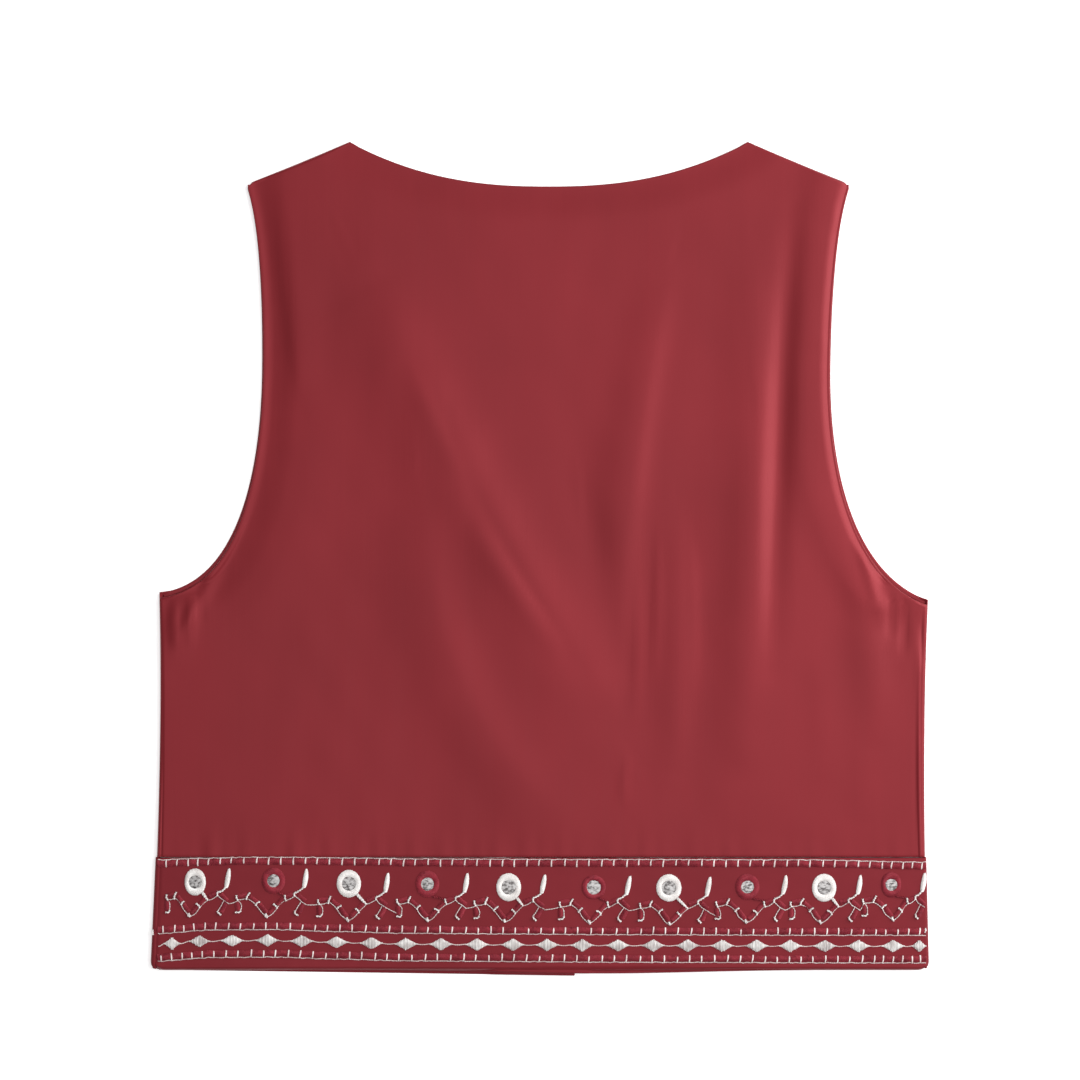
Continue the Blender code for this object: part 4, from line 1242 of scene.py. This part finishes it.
def charted(points, number, numbers):
    # points of the chart, laid out round the point of one V and a little unevenly
    ring = mirrorRings[number - 1]
    points = np.array(points, float)
    points[points[:, 0] < 0, 0] *= vine["narrowBefore"].get(number, 1)
    points[points[:, 0] > 0, 0] *= vine["narrowAfter"].get(number, 1)
    apex = (ring.x + vine["apexShift"][number - 1], ring.y - vine["apexDrop"][number - 1])
    return points * 0.001 + apex + numbers.uniform(-1, 1, points.shape) * vine["unevenness"]


def curved(points, count):
    # a smooth line through the given points
    points = np.array(points, float)
    padded = np.concatenate([[2 * points[0] - points[1]], points, [2 * points[-1] - points[-2]]])
    line = []
    for a, b, c, d in zip(padded, padded[1:], padded[2:], padded[3:]):
        for share in np.linspace(0, 1, count, endpoint=False):
            line.append(0.5 * (2 * b + (c - a) * share + (2 * a - 5 * b + 4 * c - d) * share**2
                               + (3 * b - a - 3 * c + d) * share**3))
    return np.array(line + [points[-1]])


def makeVine():
    numbers = np.random.default_rng(7)
    low, middling, high = vine["lowLift"], vine["stemLift"], vine["highLift"]
    thin, thick, bars, leaves, red = [], [], [], [], []
    last = None
    for number, ring in enumerate(mirrorRings, start=1):
        def chart(points):
            return charted(points, number, numbers)

        thin += [path(curved(chart(line), 8), lift=low) for line in vine["line"] + vine["thin"]]
        thick += [path(curved(chart(line), 6), lift=high) for line in vine["thick"]]
        thick.append(path(curved(chart(vine["stem"]), 8), lift=low))
        bars += [path(bezier(chart(bar), 10), vine["barWide"], vine["barLift"]) for bar in vine["bars"]]
        leaf = bezier(chart(vine["leaf"]), 16)
        swell = np.sin(pi * np.linspace(0.10, 0.97, 16)) ** 0.6
        leaves.append(path(leaf, vine["leafTip"] + vine["leafWide"] * swell, vine["leafLift"] * swell))
        white = number % 2 == 1
        turn = vine["ringStemTurn"] if white else vine["redStemTurn"]
        start = np.array([ring.x + ring.wide / 2 * cos(turn), ring.y + ring.tall / 2 * sin(turn)])
        node = chart((vine["line"][4][-1],))[0]
        if white:
            for side in (-1, 1):
                begin = start + side * np.array(vine["ringStemApart"])
                middle = (start + node) / 2 + begin - start
                thick.append(path(bezier((begin, middle, node), 10), lift=middling))
        else:
            thick.append(path(curved(chart(vine["redNode"]), 6), lift=high))
            red.append(path(bezier((start, node + vine["redStemUp"]), 8), lift=middling))
        if last is not None:
            runsLow = number - 1 in vine["runsLow"]
            ahead = chart((vine["thin"][0][-1 if runsLow else 0],))[0]
            thin.append(path(bezier((last, (last + ahead) / 2 + vine["joinSag"], ahead), 16), lift=low))
        last = chart((vine["line"][-1][-1],))[0]
    thick += [path(bezier(stitch, 8), lift=low) for stitch in vine["edgeStitches"]]
    beyond = rows["end"] + 0.0002  # what would reach past the side of the vest is left out
    pieces = []
    for name, nodeTree, paths, threadName, values, seed in (
        ("vine_thread", laidThread, thin, "toothThread", vine["thread"], 0),
        ("vine_ticks", laidThread, thick, "ivoryThread", vine["tick"], 0),
        ("red_stems", laidThread, red, "redThread", vine["tick"], 0),
        ("vine_bars", satinStitch, bars, "redThread", vine["barStitch"], 5),
        ("vine_leaves", satinStitch, leaves, "ivoryThread", vine["leafStitch"], 6),
    ):
        kept = [one for one in paths if one.points[:, 0].max() < beyond]
        pieces.append(sewn(name, nodeTree, kept, threadName, values, seed))
    return pieces


# The row of lozenges between the two lower rows, joined by one thread

lozenges = {
    "marks": ((0, -0.2204), (1, -0.2036), (2, -0.1842), (7, -0.0803), (10, -0.0162), (16, 0.1094),
              (21, 0.2114), (22, 0.2268)),
    "y": 0.0150, "wide": 0.0130, "tall": 0.0072, "ends": {0: 0.0094, 1: 0.0116, 22: 0.0080},
    "stray": 0.0003, "point": 0.08, "hollow": 1.12, "lift": 0.0007, "fullness": 2.2, "samples": 27,
    "stitch": dict(spacing=0.00084, thread=0.00042, roundness=0.3, slant=0.0, unevenness=0.09),
    "tipIn": 0.0004, "firstTip": (0.0002, -0.0012), "joinLift": 0.0001,
    "joinBends": ((0.25, 0, -0.0003), (0.5, 1, -0.0009), (0.9, 1, 0.0006)),
    "joinThread": dict(step=0.0006, thread=0.00034, twist=0.0026),
}


def makeLozenges():
    numbers = np.random.default_rng(9)
    shapes, joins = [], []
    firstRight, firstUp = lozenges["firstTip"]
    lastTip = (rows["start"] + firstRight, lozenges["y"] + strayAt("all", rows["start"]) + firstUp)
    share = np.linspace(0, 1, lozenges["samples"])
    spread = np.maximum(1 - np.abs(2 * share - 1), lozenges["point"]) ** lozenges["hollow"]
    puff = lozenges["lift"] * np.minimum(lozenges["fullness"] * spread, 1)
    for number, x in enumerate(markedPlaces(lozenges["marks"])):
        x = x + numbers.uniform(-lozenges["stray"], lozenges["stray"])
        wide = lozenges["ends"].get(number, lozenges["wide"])
        y = float(lozenges["y"] + strayAt("all", x))
        line = np.stack([x + wide * (share - 0.5), np.full(len(share), y)], axis=1)
        shapes.append(path(line, lozenges["tall"] * spread, puff))
        reach = wide / 2 - lozenges["tipIn"]
        tip = (x - reach, y)
        bends = [(lastTip[0] + along * (tip[0] - lastTip[0]), (lastTip, tip)[near][1] + up)
                 for along, near, up in lozenges["joinBends"]]
        joins.append(path(bezier((lastTip, *bends, tip), 20), lift=lozenges["joinLift"]))
        lastTip = (x + reach, y)
    return [sewn("lozenges", satinStitch, shapes, "lozengeThread", lozenges["stitch"], 8),
            sewn("lozenge_thread", laidThread, joins, "pinkThread", lozenges["joinThread"])]


embroidery = makeRows() + makeVine() + makeLozenges()
for number, ring in enumerate(mirrorRings, start=1):
    embroidery += [makeMirror(number, ring), makeRing(number, ring)]
bpy.data.objects.remove(sewnOn)
print("embroidery made")


# Floor, light and camera

studio = {
    "frameWidth": 0.648, "frameCentre": (0.00015, 0.0112), "lens": 110.0,
    "key": {"place": (1.35, 0.50, 0.98), "size": 1.6, "power": 45.5},
    "fill": {"place": (0.25, -0.15, 2.8), "size": 1.8, "power": 21.0},
    "world": 0.36, "floor": (0.96, 0.96, 0.96, 1), "floorReach": 3.0, "floorGlow": 0.38,
    "grain": ((0.95, 0.95, 0.95, 1), (0.97, 0.97, 0.97, 1)),
}


def makeFloor():
    material, look, shader = newMaterial("paper", studio["floor"])
    shade = look.mixColour(objectNoise(look, 600.0), *studio["grain"])
    look.fill(shader.inputs["Base Color"], shade)
    shader.inputs["Roughness"].default_value = 0.9
    shader.inputs["Specular IOR Level"].default_value = 0.1
    shader.inputs["Emission Color"].default_value = (1, 1, 1, 1)
    shader.inputs["Emission Strength"].default_value = studio["floorGlow"]
    reach = studio["floorReach"]
    corners = [(-reach, -reach, 0), (reach, -reach, 0), (reach, reach, 0), (-reach, reach, 0)]
    addMesh("floor", corners, [(0, 1, 2, 3)], material)


def addLight(name):
    values = studio[name]
    light = bpy.data.lights.new(name, "AREA")
    light.size = values["size"]
    light.energy = values["power"]
    lamp = placed(name, light)
    lamp.location = values["place"]
    lamp.rotation_mode = "QUATERNION"
    lamp.rotation_quaternion = Vector(-np.array(values["place"])).to_track_quat("-Z", "Y")


makeFloor()
addLight("key")
addLight("fill")
world = bpy.data.worlds.new("studio")
world.use_nodes = True
background = world.node_tree.nodes["Background"]
background.inputs[0].default_value = (1, 1, 1, 1)
background.inputs[1].default_value = studio["world"]
bpy.context.scene.world = world
bpy.context.scene.view_settings.view_transform = "Standard"

camera = placed("camera", bpy.data.cameras.new("camera"))
camera.data.lens = studio["lens"]
distance = studio["frameWidth"] * studio["lens"] / camera.data.sensor_width
camera.location = (*studio["frameCentre"], distance)
bpy.context.scene.camera = camera
print("studio made")
